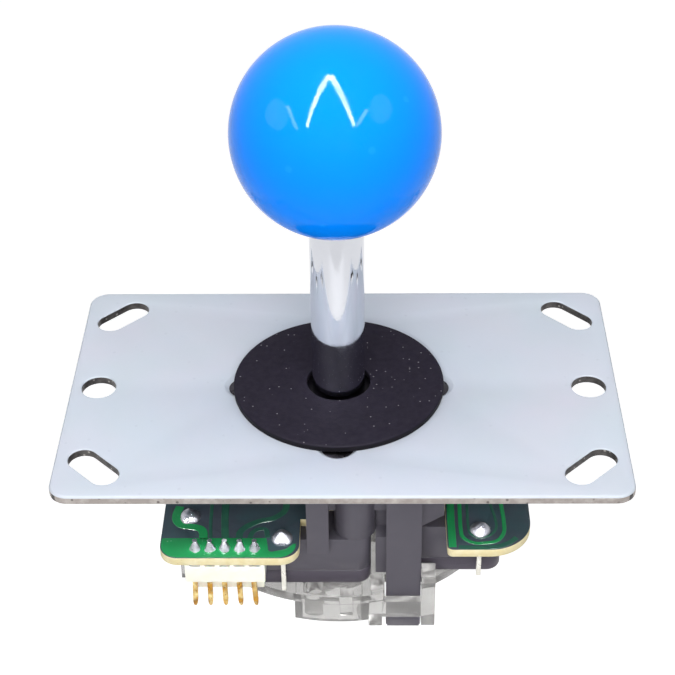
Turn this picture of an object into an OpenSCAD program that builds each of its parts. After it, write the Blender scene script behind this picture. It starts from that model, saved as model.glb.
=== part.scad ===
// Ball-top arcade lever on a flat steel mounting plate.
// Millimetres. +Z is up, +Y points away from the player, and the origin is midway between the
// plate's two round holes, on its top face. Everything under the plate hangs below Z = 0.

/* [Mounting plate] */
// Width of the plate, left to right
plate_w = 99; // [90:0.5:130]
// Depth of the plate, front to back
plate_d = 60.5; // [58:0.5:90]
// Sheet thickness
plate_t = 1.6; // [1.2:0.1:3]
// Radius of the plate's corners
plate_corner_r = 3.5; // [1:0.5:6]
// Distance between the two round holes
round_hole_pitch = 88.8; // [80:0.2:120]
// Diameter of the two round holes
round_hole_d = 6.2; // [4:0.1:8]
// Left to right distance between the slots' centres
slot_pitch_x = 85; // [78:0.5:116]
// Front to back distance between the slots' centres
slot_pitch_y = 44.7; // [40:0.1:76]
// Length of a slot, end to end
slot_len = 11; // [7:0.5:13]
// Width of a slot
slot_w = 5.2; // [3.5:0.1:6]
// Diameter of the opening for the lever
lever_opening_d = 20; // [18:0.5:24]

/* [Plate screws] */
// Distance of each screw from the lever's axis
screw_radius = 17; // [15.5:0.1:18]
// Diameter of the screws' thread
screw_d = 3; // [2.5:0.1:3.5]
// Diameter of a screw head
screw_head_d = 6; // [5:0.1:6.4]
// Diameter of the countersink at the plate's top face
countersink_d = 7.4; // [6.6:0.1:8]
// Length of a screw below the plate
screw_len = 7; // [4:0.5:8]

/* [Lever] */
// Sideways place of the lever's axis on the plate
axis_x = -0.8; // [-2:0.1:2]
// Fore and aft place of the lever's axis on the plate
axis_y = 0.4; // [-2:0.1:2]
// Diameter of the ball
ball_d = 35; // [28:0.5:45]
// Height of the ball's centre above the plate
ball_height = 51.8; // [44:0.1:64]
// Diameter of the upper shaft
shaft_d = 9.5; // [8:0.1:10]
// Diameter of the lower shaft and of the stud in the ball
shank_d = 6; // [5:0.1:6.4]
// Length of the threaded stud in the ball
stud_len = 11; // [8:0.5:14]
// Depth of the pivot below the plate's underside
pivot_drop = 2.2; // [2:0.1:4]
// Radius of the pivot bush's round seat
bush_r = 8; // [7.4:0.1:8.6]
// Tilt of the lever each way, degrees
tilt_max = 7; // [5:0.5:8]

/* [Dust washer] */
// Diameter of the dust washer
washer_d = 38; // [32:0.5:46]
// Thickness of the dust washer
washer_t = 1.2; // [0.8:0.1:2]

/* [Base] */
// Width of the base's square block
block_w = 39; // [38:0.5:44]
// Distance from the plate's underside to the top of the circuit board
board_drop = 9.8; // [8.5:0.1:12]
// Distance of the latch legs' outer face from the lever's axis
leg_out = 27.4; // [27.4:0.1:28]
// Thickness of a latch leg
leg_t = 2.4; // [2:0.1:2.6]
// Width of a latch leg
leg_w = 6.1; // [4.5:0.1:7]
// Distance of a latch leg's near side from its face's middle
leg_u = 8.4; // [8.2:0.1:9.5]

/* [Circuit board] */
// Thickness of the board
board_t = 1.6; // [1:0.1:2]
// Place of the board's left edge
board_left = -31.2; // [-36:0.1:-31]
// Place of the board's right edge
board_right = 32.6; // [32:0.1:37]
// Place of the board's front edge at the connector
board_front = -32.95; // [-38:0.05:-32.9]
// Place of the board's front edge on the right
board_front_right = -30.85; // [-36:0.05:-30]
// Place of the board's rear edge
board_rear = 31.2; // [31:0.1:36]

/* [Connector] */
// Number of pins
pin_count = 5; // [3:1:6]
// Distance between pins
pin_pitch = 2.54; // [2:0.01:2.54]
// Width of a square pin
pin_w = 0.9; // [0.5:0.02:1]
// Place of the row of pins from left to right, at its middle
header_x = -20; // [-21:0.1:-19]
// Place of the row of pins, front to back
header_y = -30.6; // [-30.8:0.1:-30.2]
// Height of the connector's base
header_h = 3.9; // [3:0.1:5]
// Length of the pins below the connector's base
pin_len = 7.6; // [5:0.1:9]

/* [Switches] */
// Length of a switch case
case_l = 27.8; // [27:0.1:28.4]
// Depth of a switch case, plunger side to terminal side
case_d = 15.9; // [15:0.1:16.2]
// Thickness of a switch case without its cover
case_t = 7.15; // [6.6:0.05:8]
// Thickness of a switch cover
cover_t = 3.05; // [2.4:0.05:4]
// Distance from the lever's axis to the outer face of the front and rear switches
out_front_rear = 27; // [26.8:0.1:27]
// Distance from the lever's axis to the outer face of the side switches
out_sides = 28.7; // [28:0.1:29]
// Distance from the lever's axis to the common end of the front and rear switches
end_front_rear = 22.05; // [22:0.05:23.5]
// Distance from the lever's axis to the common end of the side switches
end_sides = 23.7; // [23.2:0.1:23.9]
// Height of a switch's lever blade
blade_h = 4; // [3:0.1:4.4]
// Thickness of a switch's lever blade
blade_t = 0.5; // [0.3:0.05:0.7]
// Diameter of a plunger
plunger_d = 2.2; // [1.6:0.1:2.6]

/* [Actuator and spring] */
// Radius of the actuator's flange
flange_r = 7.7; // [7.4:0.1:8]
// Free space between the flange and a switch's blade
blade_gap = 0.9; // [0.8:0.05:1.2]
// Diameter of the spring's wire
wire_d = 0.9; // [0.6:0.1:1]
// Number of turns in the spring
spring_turns = 4; // [3:0.5:4.5]

/* [Gate] */
// Radius of the gate's round flange
gate_r = 30.5; // [29.5:0.1:31.5]
// Thickness of the gate's plate
gate_t = 1.8; // [1.2:0.1:2.4]
// Height of the gate's side pockets below its plate
pocket_h = 4.3; // [3.5:0.1:6]
// Wall of the gate's side pockets
pocket_wall = 1.4; // [1:0.1:2]

/* [Hidden] */

FRONT = 0;
RIGHT = 1;
REAR = 2;
LEFT = 3;

eps = 0.01;
cut = 1;              // how far a cutting shape runs past a face
face_gap = 0.05;      // between faces that rest on each other
running_gap = 0.05;   // radial, between a shaft and its bore
thread_gap = 0.02;    // radial, between a thread and its hole
washer_gap = 0.05;    // between the leaning shaft and the dust washer
plunger_gap = 0.3;    // between a plunger and its blade

// Heights, from the plate down
plate_bottom = -plate_t;
pivot_z = plate_bottom - pivot_drop;
board_top = plate_bottom - board_drop;
board_bottom = board_top - board_t;
case_top = board_bottom - face_gap;
case_bottom = case_top - case_t;
cover_top = case_bottom - face_gap;
cover_bottom = cover_top - cover_t;
switch_mid = (case_top + cover_bottom) / 2;
gate_top = cover_bottom - 2 * face_gap;
gate_bottom = gate_top - gate_t;
pocket_bottom = gate_bottom - pocket_h;

// Pivot and seat
bush_top = pivot_z + 2.4;
bush_bottom = pivot_z - 0.75 * bush_r;
throat_r = 0.65 * bush_r;                   // hole under the seat
seat_hub_r = bush_r + 2.5;
seat_hub_bottom = bush_bottom - 1.8;
collar_t = 0.8;
collar_top = seat_hub_bottom - face_gap;

// Lever, above and below the pivot
ball_r = ball_d / 2;
shoulder_z = bush_top + face_gap;
ball_flat_z = ball_height - sqrt(pow(ball_r, 2) - pow(shaft_d / 2, 2));
insert_len = stud_len + 1.5;
insert_r = shank_d / 2 + 1.6;
washer_bottom = 0.02;
corner_tilt = atan(sqrt(2) * tan(tilt_max));
washer_hole_r = shaft_d / 2 / cos(corner_tilt)
    + (washer_t - pivot_z) * tan(corner_tilt) + washer_gap;

// Actuator: a cup that holds the spring, a flange for the blades and a hub in the gate
spring_top = collar_top - collar_t - face_gap;
cup_floor_top = switch_mid - 2.8;
cup_floor_t = 1.6;
cup_wall = 0.6;
cup_r = flange_r - 0.6;
cup_top = switch_mid + 2.6;
flange_t = 2;
hub_r = 6;
hub_bottom = gate_bottom - 1.9;
spring_r = cup_r - cup_wall - 0.35 - wire_d / 2;
clip_t = 0.8;
clip_r = 5;
groove_r = shank_d / 2 - 0.6;
clip_top = hub_bottom - face_gap;
shank_bottom = clip_top - clip_t - 2.2;

// The gate stops the hub at full tilt
gate_half = hub_r * cos(tilt_max) + (pivot_z - gate_bottom) * sin(tilt_max) + 0.15;
rim_half = gate_half + 0.9;
rim_wall = 1.6;
rim_bottom = clip_top - clip_t - 1.5;

// Switches, in a side's own frame: u runs along the switch, and -Y points outward
function is_front_rear(k) = k % 2 == 0;
function out_at(k) = is_front_rear(k) ? out_front_rear : out_sides;
function end_at(k) = is_front_rear(k) ? -end_front_rear : -end_sides;
function far_end_at(k) = end_at(k) + case_l;
function inner_at(k) = out_at(k) - case_d;
mount_hole_pitch = 22.2;
mount_hole_d = 3.1;
mount_hole_inset = 4.5;                      // from the outer face
case_corner_r = 2.6;
hinge_inset = 3;                             // from the common end
hinge_stand = 0.95;                          // from the inner face
eye_r = 0.9;
hinge_pin_r = 0.45;
plunger_inset = 7.5;                         // from the far end
plunger_depth = 3;
plunger_travel = 1.9;
blade_v = flange_r + blade_gap + blade_t / 2;
function hinge_u(k) = end_at(k) + hinge_inset;
function hinge_v(k) = inner_at(k) - hinge_stand;
function blade_angle(k) = atan2(hinge_v(k) - blade_v, -hinge_u(k));
blade_tip_u = 3.4;
function plunger_u(k) = far_end_at(k) - plunger_inset;
function blade_at(k, u) = hinge_v(k) - (u - hinge_u(k)) * tan(blade_angle(k));

// Terminals, flat blades seen edge-on, with a tail through the board
terminal_t = 0.8;
terminal_stand = 1.9;
terminal_bottom = cover_bottom + 0.2;
terminal_root = 3;
common_root = 1.1;
terminal_z = case_bottom + 2.2;
terminal_root_h = 2.6;
tail_w = 1;
tail_top = board_top + 0.8;
tail_hole_r = 0.8;
contact_u = 12.55;                           // open contact, from the common end
common_v = 4.1;                              // common contact, in from the outer face
function common_reach(k) = is_front_rear(k) ? 3.75 : 2.6;
contact_reach = 1.3;
solder_r = 1.9;
solder_h = 1.5;
pin_solder_r = 1.02;
pin_solder_h = 2.3;
pin_top = board_top + 1.9;

// Latch legs, hooks and the gate's strap
leg_gap = 0.25;
leg_inner = leg_out - leg_t;
strap_top = gate_bottom - 0.65;
strap_h = 3.7;
strap_t = 1.5;
strap_gap = 0.2;
hook_top = strap_top - strap_h - 2 * face_gap;
hook_h = 3.4;
hook_reach = 1.3;
lug_w = 2.4;
lug_top = cover_top + 0.4;
lug_bottom = gate_bottom - 6.5;
lug_in = 1.4;
pocket_u = -7.7;
pocket_r = gate_r - 0.2;
pocket_inner = 20;
peg_h = 6;
peg_gap = 0.1;

// Arms of the base: a shelf under the plate, a finger, a boss and a rib beside the leg
shelf_bottom = plate_bottom - 6.4;
finger_u0 = -5.3;
finger_u1 = -1.5;
finger_t = 1.3;
boss_u = 3;
boss_r = 3.7;
function boss_v(k) = out_at(k) - 3.6;
rib_w = 3.9;

// Guide beside the leg, on a web under the shelf
guide_gap = 0.8;                             // from the switch's end
guide_u = case_l - end_front_rear + guide_gap;
guide_v = leg_inner + 0.3;
guide_top = board_bottom - 1;
guide_bottom = cover_bottom + 1;
web_v = leg_inner - 2.1;
web_bottom = switch_mid - 2;

// Notches in the board, where the base's arms pass
notch_gap = 0.2;
notch_u0 = finger_u0 - notch_gap;
notch_u1 = leg_u + leg_w + rib_w + 2 * notch_gap;
notch_v = min(block_w / 2, out_front_rear - 3.6 - boss_r - notch_gap);
board_hole_r = seat_hub_r + 1;

charcoal = "#3b393d";
black_plastic = "#2f2d31";

module at_axis() {
    translate([axis_x, axis_y, 0]) children();
}

module side(k) {
    at_axis() rotate([0, 0, 90 * k]) children();
}

module tube(z0, z1, r, bore_r, fn = 96) {
    translate([0, 0, z0]) difference() {
        cylinder(h = z1 - z0, r = r, $fn = fn);
        translate([0, 0, -cut]) cylinder(h = z1 - z0 + 2 * cut, r = bore_r, $fn = fn);
    }
}

// A box from corner to corner
module span(x0, x1, y0, y1, z0, z1) {
    translate([x0, y0, z0]) cube([x1 - x0, y1 - y0, z1 - z0]);
}

module rounded_rect(x0, x1, y0, y1, r) {
    translate([x0 + r, y0]) square([x1 - x0 - 2 * r, y1 - y0]);
    translate([x0, y0 + r]) square([x1 - x0, y1 - y0 - 2 * r]);
    for (x = [x0 + r, x1 - r], y = [y0 + r, y1 - r]) translate([x, y]) circle(r = r, $fn = 48);
}

module rounded_block(x0, x1, y0, y1, z0, z1, r) {
    translate([0, 0, z0]) linear_extrude(z1 - z0) rounded_rect(x0, x1, y0, y1, r);
}

// ---- Plate ----

module slot_hole() {
    h = plate_t + 2 * cut;
    reach = (slot_len - slot_w) / 2;
    for (s = [-1, 1]) translate([s * reach, 0, 0]) cylinder(h = h, d = slot_w, $fn = 64);
    translate([-reach, -slot_w / 2, 0]) cube([2 * reach, slot_w, h]);
}

module mounting_plate() {
    head_slope_r = screw_d / 2 + 0.25;
    color("lightsteelblue") difference() {
        rounded_block(-plate_w / 2, plate_w / 2, -plate_d / 2, plate_d / 2,
            plate_bottom, 0, plate_corner_r);
        for (s = [-1, 1]) translate([s * round_hole_pitch / 2, 0, plate_bottom - cut])
            cylinder(h = plate_t + 2 * cut, d = round_hole_d, $fn = 64);
        for (sx = [-1, 1], sy = [-1, 1])
            translate([sx * slot_pitch_x / 2, sy * slot_pitch_y / 2, plate_bottom - cut])
                rotate([0, 0, -45 * sx * sy]) slot_hole();
        at_axis() translate([0, 0, plate_bottom - cut])
            cylinder(h = plate_t + 2 * cut, d = lever_opening_d, $fn = 96);
        for (k = [FRONT:LEFT]) side(k) translate([0, -screw_radius, 0]) {
            translate([0, 0, plate_bottom])
                cylinder(h = plate_t + eps, r1 = head_slope_r, r2 = countersink_d / 2, $fn = 64);
            translate([0, 0, plate_bottom - cut])
                cylinder(h = cut + eps, r = head_slope_r, $fn = 64);
        }
    }
}

// Countersunk screws with a cross recess
module plate_screws() {
    hole_r = screw_d / 2 + 0.25;
    slope = (countersink_d / 2 - hole_r) / plate_t;
    head_drop = (countersink_d - screw_head_d) / 2 / slope;
    head_r = screw_head_d / 2 - thread_gap;
    color("dimgray") for (k = [FRONT:LEFT]) side(k) translate([0, -screw_radius, 0]) difference() {
        union() {
            translate([0, 0, plate_bottom]) cylinder(h = plate_t - head_drop,
                r1 = hole_r - thread_gap, r2 = head_r, $fn = 64);
            translate([0, 0, plate_bottom - screw_len])
                cylinder(h = screw_len + eps, r = screw_d / 2, $fn = 48);
        }
        for (a = [0, 90]) rotate([0, 0, a]) translate([-1.6, -0.4, -head_drop - 0.75])
            cube([3.2, 0.8, cut + 0.75]);
    }
}

// ---- Base ----

// One side of the base: a shelf, a finger over the switch, a boss and the latch leg
module base_arm(k) {
    leg_end = leg_u + leg_w;
    finger_in = -out_at(k) - 2 * face_gap;
    finger_out = finger_in - finger_t;
    span(finger_u0, leg_end + rib_w, -leg_inner, -block_w / 2 + 1, shelf_bottom, plate_bottom);
    span(finger_u0, finger_u1, finger_out, -leg_inner + 1, shelf_bottom, plate_bottom);
    span(finger_u0, finger_u1, finger_out, finger_in, case_top - 2, shelf_bottom + eps);
    translate([boss_u, -boss_v(k), board_bottom - 0.02])
        cylinder(h = plate_bottom - board_bottom + 0.02, r = boss_r, $fn = 64);
    // leg and the rib that stiffens it
    span(leg_u, leg_end, -leg_out, -leg_inner, hook_top - hook_h, plate_bottom);
    translate([0, -leg_inner + 2, 0]) rotate([90, 0, 0]) linear_extrude(2 + eps) polygon([
        [leg_end - eps, shelf_bottom + eps], [leg_end + rib_w, shelf_bottom + eps],
        [leg_end + rib_w, board_top + 2.3], [leg_end - eps, board_bottom + 1.3]
    ]);
    // guide that keeps the switch's far end from the leg
    translate([guide_u, 0, 0]) rotate([90, 0, 90]) linear_extrude(leg_u - guide_u + 0.1)
        polygon([
            [-guide_v, guide_bottom], [-guide_v, guide_top], [-web_v, board_bottom - 0.2],
            [-web_v, shelf_bottom + eps], [-notch_v - notch_gap, shelf_bottom + eps],
            [-notch_v - notch_gap, web_bottom], [-web_v, guide_bottom]
        ]);
    // hook, with a lead-in below
    translate([leg_u + 0.2, 0, 0]) rotate([90, 0, 90]) linear_extrude(leg_w - 0.4) polygon([
        [-leg_inner - eps, hook_top - hook_h], [-leg_out - 0.4, hook_top - hook_h],
        [-leg_out - hook_reach, hook_top - 0.9], [-leg_out - hook_reach, hook_top],
        [-leg_inner - eps, hook_top]
    ]);
}

module base_body() {
    color(black_plastic) difference() {
        union() {
            at_axis() rounded_block(-block_w / 2, block_w / 2, -block_w / 2, block_w / 2,
                board_top + face_gap, plate_bottom, 5);
            at_axis() translate([0, 0, seat_hub_bottom])
                cylinder(h = plate_bottom - seat_hub_bottom, r = seat_hub_r, $fn = 96);
            for (k = [FRONT:LEFT]) side(k) {
                base_arm(k);
                translate([0, -screw_radius, board_top + face_gap])
                    cylinder(h = plate_bottom - board_top - face_gap, r = screw_d / 2 + 1.8,
                        $fn = 48);
            }
        }
        at_axis() {
            translate([0, 0, pivot_z]) sphere(r = bush_r + running_gap, $fn = 96);
            translate([0, 0, pivot_z])
                cylinder(h = pivot_drop + cut, r = bush_r + running_gap, $fn = 96);
            translate([0, 0, seat_hub_bottom - cut])
                cylinder(h = pivot_z - seat_hub_bottom, r = throat_r, $fn = 96);
        }
        for (k = [FRONT:LEFT]) side(k) translate([0, -screw_radius, plate_bottom - screw_len - 1])
            cylinder(h = screw_len + 1 + cut, r = screw_d / 2 + thread_gap, $fn = 48);
    }
}

// ---- Circuit board and connector ----

// Where a side's two terminals meet the board, in the side's own frame
function terminal_spots(k) = [
    [end_at(k) - common_reach(k), -(out_at(k) - common_v)],
    [end_at(k) + contact_u, -(out_at(k) + contact_reach)]
];

module board_outline() {
    notch_left = axis_x + notch_u0;
    notch_right = axis_x + notch_u1;
    arc_r = 7.3;
    rounded_rect(board_left, notch_left - 1, board_front, 0, 3.3);
    translate([notch_right, board_front_right])
        square([board_right - notch_right - arc_r, arc_r + eps]);
    translate([board_right - arc_r, board_front_right + arc_r]) circle(r = arc_r, $fn = 96);
    translate([notch_right, board_front_right + arc_r]) square([board_right - notch_right, 20]);
    rounded_rect(board_left, board_right, axis_y - block_w / 2 - 4, board_rear, 3.3);
}

module circuit_board() {
    color("seagreen") translate([0, 0, board_bottom]) linear_extrude(board_t) difference() {
        board_outline();
        translate([axis_x, axis_y]) circle(r = board_hole_r, $fn = 96);
        for (k = [FRONT:LEFT]) translate([axis_x, axis_y]) rotate(90 * k) {
            translate([notch_u0, -notch_v - 30]) square([notch_u1 - notch_u0, 30]);
            for (spot = terminal_spots(k)) translate(spot) circle(r = tail_hole_r, $fn = 32);
        }
        for (i = [0:pin_count - 1])
            translate([header_x + (i - (pin_count - 1) / 2) * pin_pitch, header_y])
                circle(r = pin_w / 2 * sqrt(2) + running_gap, $fn = 32);
        // rounded corner beside the front notch
        translate([axis_x + notch_u1, board_front_right]) difference() {
            translate([-cut, -cut]) square(cut + 1);
            translate([1, 1]) circle(r = 1, $fn = 48);
        }
    }
}

module solder_joints() {
    gap = 2 * thread_gap;
    color("silver") {
        for (k = [FRONT:LEFT]) side(k) for (spot = terminal_spots(k))
            translate([spot[0], spot[1], board_top]) difference() {
                cylinder(h = solder_h, r1 = solder_r, r2 = solder_r / 2.4, $fn = 48);
                translate([-(tail_w + gap) / 2, -(tail_w + gap) / 2, -cut])
                    cube([tail_w + gap, tail_w + gap, tail_top - board_top + cut + gap]);
            }
        for (i = [0:pin_count - 1])
            translate([header_x + (i - (pin_count - 1) / 2) * pin_pitch, header_y, board_top])
                difference() {
                    cylinder(h = pin_solder_h, r1 = pin_solder_r, r2 = 0.35, $fn = 32);
                    translate([-(pin_w + gap) / 2, -(pin_w + gap) / 2, -cut])
                        cube([pin_w + gap, pin_w + gap, pin_top - board_top + cut + gap]);
                }
    }
}

// Base block with a friction-lock wall behind the pins
module header_housing() {
    half_w = pin_count * pin_pitch / 2 + 0.5;
    top = board_bottom - face_gap;
    base_bottom = top - header_h;
    wall_back = 3.3;
    slit_w = 1.7;
    slit_h = 0.4;
    color("ivory") difference() {
        union() {
            span(header_x - half_w, header_x + half_w, header_y - 2.4, header_y + wall_back,
                base_bottom, top);
            span(header_x - half_w + 0.6, header_x + half_w - 0.6, header_y + wall_back - 1.2,
                header_y + wall_back, base_bottom - 5.6, base_bottom + eps);
        }
        for (i = [0:pin_count - 1])
            translate([header_x + (i - (pin_count - 1) / 2) * pin_pitch, header_y, 0])
                span(-pin_w / 2 - thread_gap, pin_w / 2 + thread_gap, -pin_w / 2 - thread_gap,
                    pin_w / 2 + thread_gap, base_bottom - cut, top + cut);
        // a slit under the board in front of each pin
        for (i = [0:pin_count - 1])
            translate([header_x + (i - (pin_count - 1) / 2) * pin_pitch, 0, 0])
                span(-slit_w / 2, slit_w / 2, header_y - 2.4 - cut, header_y - 1.2,
                    top - slit_h, top + cut);
    }
}

module header_pins() {
    bottom = board_bottom - face_gap - header_h - pin_len;
    point = 0.7;
    color("goldenrod") for (i = [0:pin_count - 1])
        translate([header_x + (i - (pin_count - 1) / 2) * pin_pitch, header_y, 0]) {
            span(-pin_w / 2, pin_w / 2, -pin_w / 2, pin_w / 2, bottom + point, pin_top);
            translate([0, 0, bottom]) intersection() {
                span(-pin_w / 2, pin_w / 2, -pin_w / 2, pin_w / 2, 0, point + eps);
                cylinder(h = point + eps, r1 = pin_w / 5, r2 = pin_w, $fn = 24);
            }
        }
}

// ---- Switches ----

module case_outline(k) {
    u0 = end_at(k);
    u1 = far_end_at(k);
    rounded_rect(u0, u1, -out_at(k), -inner_at(k), case_corner_r);
    translate([u0, -inner_at(k) - case_d / 2]) square([case_l, case_d / 2]);
}

module mount_holes(k, z0, z1) {
    mid_u = (end_at(k) + far_end_at(k)) / 2;
    for (s = [-1, 1])
        translate([mid_u + s * mount_hole_pitch / 2, -out_at(k) + mount_hole_inset, z0])
            cylinder(h = z1 - z0, d = mount_hole_d, $fn = 48);
}

module switch_case(k) {
    u = hinge_u(k);
    v = hinge_v(k);
    ear_z = switch_mid + blade_h / 2 + face_gap;
    slack = 2 * face_gap;
    color(charcoal) side(k) difference() {
        union() {
            translate([0, 0, case_bottom]) linear_extrude(case_t) case_outline(k);
            // ear and hinge pin
            span(u - eye_r, u + eye_r, -inner_at(k) - eps, -v + eye_r, ear_z, ear_z + 1.1);
            translate([u, -v, case_bottom]) cylinder(h = ear_z - case_bottom + 0.5,
                r = hinge_pin_r, $fn = 32);
        }
        mount_holes(k, case_bottom - cut, case_top + cut);
        translate([plunger_u(k), -inner_at(k) + cut, switch_mid]) rotate([90, 0, 0])
            cylinder(h = plunger_depth + plunger_travel + 0.5 + cut,
                d = plunger_d + 2 * running_gap, $fn = 48);
        // pockets for the terminals
        span(end_at(k) - cut, end_at(k) + common_root + slack,
            -out_at(k) + common_v - terminal_t / 2 - slack / 2,
            -out_at(k) + common_v + terminal_t / 2 + slack / 2,
            terminal_z - slack / 2, terminal_z + terminal_root_h + slack / 2);
        span(end_at(k) + contact_u - terminal_t / 2 - slack / 2,
            end_at(k) + contact_u + terminal_t / 2 + slack / 2,
            -out_at(k) - cut, -out_at(k) + terminal_root + slack,
            terminal_z - slack / 2, terminal_z + terminal_root_h + slack / 2);
    }
}

module switch_cover(k) {
    u = hinge_u(k);
    v = hinge_v(k);
    foot_z = switch_mid - blade_h / 2 - face_gap;
    color(black_plastic) side(k) difference() {
        union() {
            translate([0, 0, cover_bottom]) linear_extrude(cover_t) case_outline(k);
            span(u - eye_r, u + eye_r, -inner_at(k) - eps, -v + eye_r,
                min(foot_z, cover_top) - 1.1, min(foot_z, cover_top));
        }
        mount_holes(k, cover_bottom - cut, cover_top + cut);
    }
}

// Common terminal at the end and open contact on the outer face, each with a tail to the board
module switch_terminals(k) {
    common = terminal_spots(k)[0];
    contact = terminal_spots(k)[1];
    t = terminal_t / 2;
    root_top = terminal_z + terminal_root_h;
    color("silver") side(k) {
        span(end_at(k) - common_reach(k) - tail_w / 2, end_at(k) + common_root,
            common[1] - t, common[1] + t, terminal_z, root_top);
        span(common[0] - tail_w / 2, common[0] + tail_w / 2, common[1] - t, common[1] + t,
            cover_bottom + 1.6, tail_top);
        span(contact[0] - t, contact[0] + t, contact[1] - tail_w / 2,
            -out_at(k) + terminal_root, terminal_z, root_top);
        span(contact[0] - t, contact[0] + t, contact[1] - tail_w / 2, contact[1] + tail_w / 2,
            cover_bottom - 0.1, tail_top);
    }
}

module switch_plunger(k) {
    reach = inner_at(k) - blade_at(k, plunger_u(k)) - blade_t / 2 / cos(blade_angle(k)) - plunger_gap;
    color("tomato") side(k) translate([plunger_u(k), -inner_at(k) + reach, switch_mid])
        rotate([90, 0, 0]) cylinder(h = plunger_depth + reach, d = plunger_d, $fn = 48);
}

// Hinged blade that the actuator's flange presses
module switch_blade(k) {
    blade_len = (blade_tip_u - hinge_u(k)) / cos(blade_angle(k));
    blade_root = (eye_r + hinge_pin_r + running_gap) / 2;
    color("gainsboro") side(k) translate([hinge_u(k), -hinge_v(k), switch_mid - blade_h / 2])
        difference() {
            union() {
                cylinder(h = blade_h, r = eye_r, $fn = 48);
                rotate([0, 0, blade_angle(k)]) translate([blade_root, -blade_t / 2, 0])
                    cube([blade_len - blade_root, blade_t, blade_h]);
            }
            translate([0, 0, -cut]) cylinder(h = blade_h + 2 * cut,
                r = hinge_pin_r + running_gap, $fn = 48);
        }
}

// ---- Restrictor gate ----

module gate_pocket_2d() {
    difference() {
        circle(r = pocket_r, $fn = 128);
        circle(r = pocket_inner, $fn = 128);
    }
}

// One side of the gate: pocket, lugs and the strap that the base's hook holds
module gate_side() {
    leg_end = leg_u + leg_w;
    lug_left = leg_u - 0.7 - lug_w;
    lug_right = leg_end + leg_gap / 2;
    strap_in = leg_out + strap_gap;
    // pocket, open below
    translate([0, 0, pocket_bottom]) linear_extrude(gate_bottom - pocket_bottom + eps)
        difference() {
            intersection() {
                gate_pocket_2d();
                translate([pocket_u, -pocket_r - cut]) square([lug_left + eps - pocket_u, 20]);
            }
            intersection() {
                difference() {
                    circle(r = pocket_r - pocket_wall, $fn = 128);
                    circle(r = pocket_inner + pocket_wall, $fn = 128);
                }
                translate([pocket_u + pocket_wall, -pocket_r - cut])
                    square([lug_left - pocket_u - 2 * pocket_wall, 20]);
            }
        }
    // post and rib inside it
    translate([-4.2, -pocket_r + pocket_wall + 2.2, gate_bottom - pocket_h + 0.5])
        cylinder(h = pocket_h - 0.5 + eps, r = 1.7, $fn = 48);
    span(0.2, 2.4, -pocket_r + pocket_wall - 0.3, -pocket_r + pocket_wall + 1.8,
        gate_bottom - pocket_h + 0.9, gate_bottom + eps);
    // pad around the leg
    span(lug_left, lug_right + lug_w, -strap_in - strap_t, -pocket_inner, gate_bottom, gate_top);
    // lugs
    span(lug_left, lug_left + lug_w, -strap_in - strap_t, -leg_inner + lug_in,
        lug_bottom, gate_top);
    span(lug_right, lug_right + lug_w, -strap_in - strap_t, -leg_inner + lug_in / 2,
        lug_bottom + 0.1, gate_top);
    span(lug_right, lug_right + lug_w, -strap_in - strap_t, -leg_inner - 0.6,
        gate_bottom, lug_top);
    // strap
    span(lug_left, lug_right + lug_w, -strap_in - strap_t, -strap_in,
        strap_top - strap_h, strap_top);
}

module restrictor_gate() {
    color("gainsboro", 0.5) difference() {
        union() {
            at_axis() translate([0, 0, gate_bottom]) cylinder(h = gate_t, r = gate_r, $fn = 128);
            at_axis() rounded_block(-rim_half - rim_wall, rim_half + rim_wall,
                -rim_half - rim_wall, rim_half + rim_wall, rim_bottom, gate_bottom + eps, 3);
            for (k = [FRONT:LEFT]) side(k) {
                gate_side();
                peg_u = (end_at(k) + far_end_at(k) + mount_hole_pitch) / 2;
                translate([peg_u, -out_at(k) + mount_hole_inset, gate_bottom])
                    cylinder(h = gate_t + peg_h, d = mount_hole_d - 2 * peg_gap, $fn = 48);
            }
        }
        at_axis() {
            rounded_block(-gate_half, gate_half, -gate_half, gate_half,
                gate_bottom - cut, gate_top + cut, 1.2);
            rounded_block(-rim_half, rim_half, -rim_half, rim_half,
                rim_bottom - cut, gate_bottom, 1.8);
        }
        // the legs' way through, open in front above the strap
        for (k = [FRONT:LEFT]) side(k) {
            span(leg_u - leg_gap, leg_u + leg_w + leg_gap / 2, -leg_out - strap_gap,
                -leg_inner + leg_gap, gate_bottom - cut, gate_top + cut);
            span(leg_u - leg_gap, leg_u + leg_w + leg_gap / 2, -gate_r - cut,
                -leg_out - strap_gap + eps, strap_top, gate_top + cut);
        }
    }
}

// ---- Lever ----

module spring_collar() {
    color("white") at_axis()
        tube(collar_top - collar_t, collar_top, cup_r, throat_r, 96);
}

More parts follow.
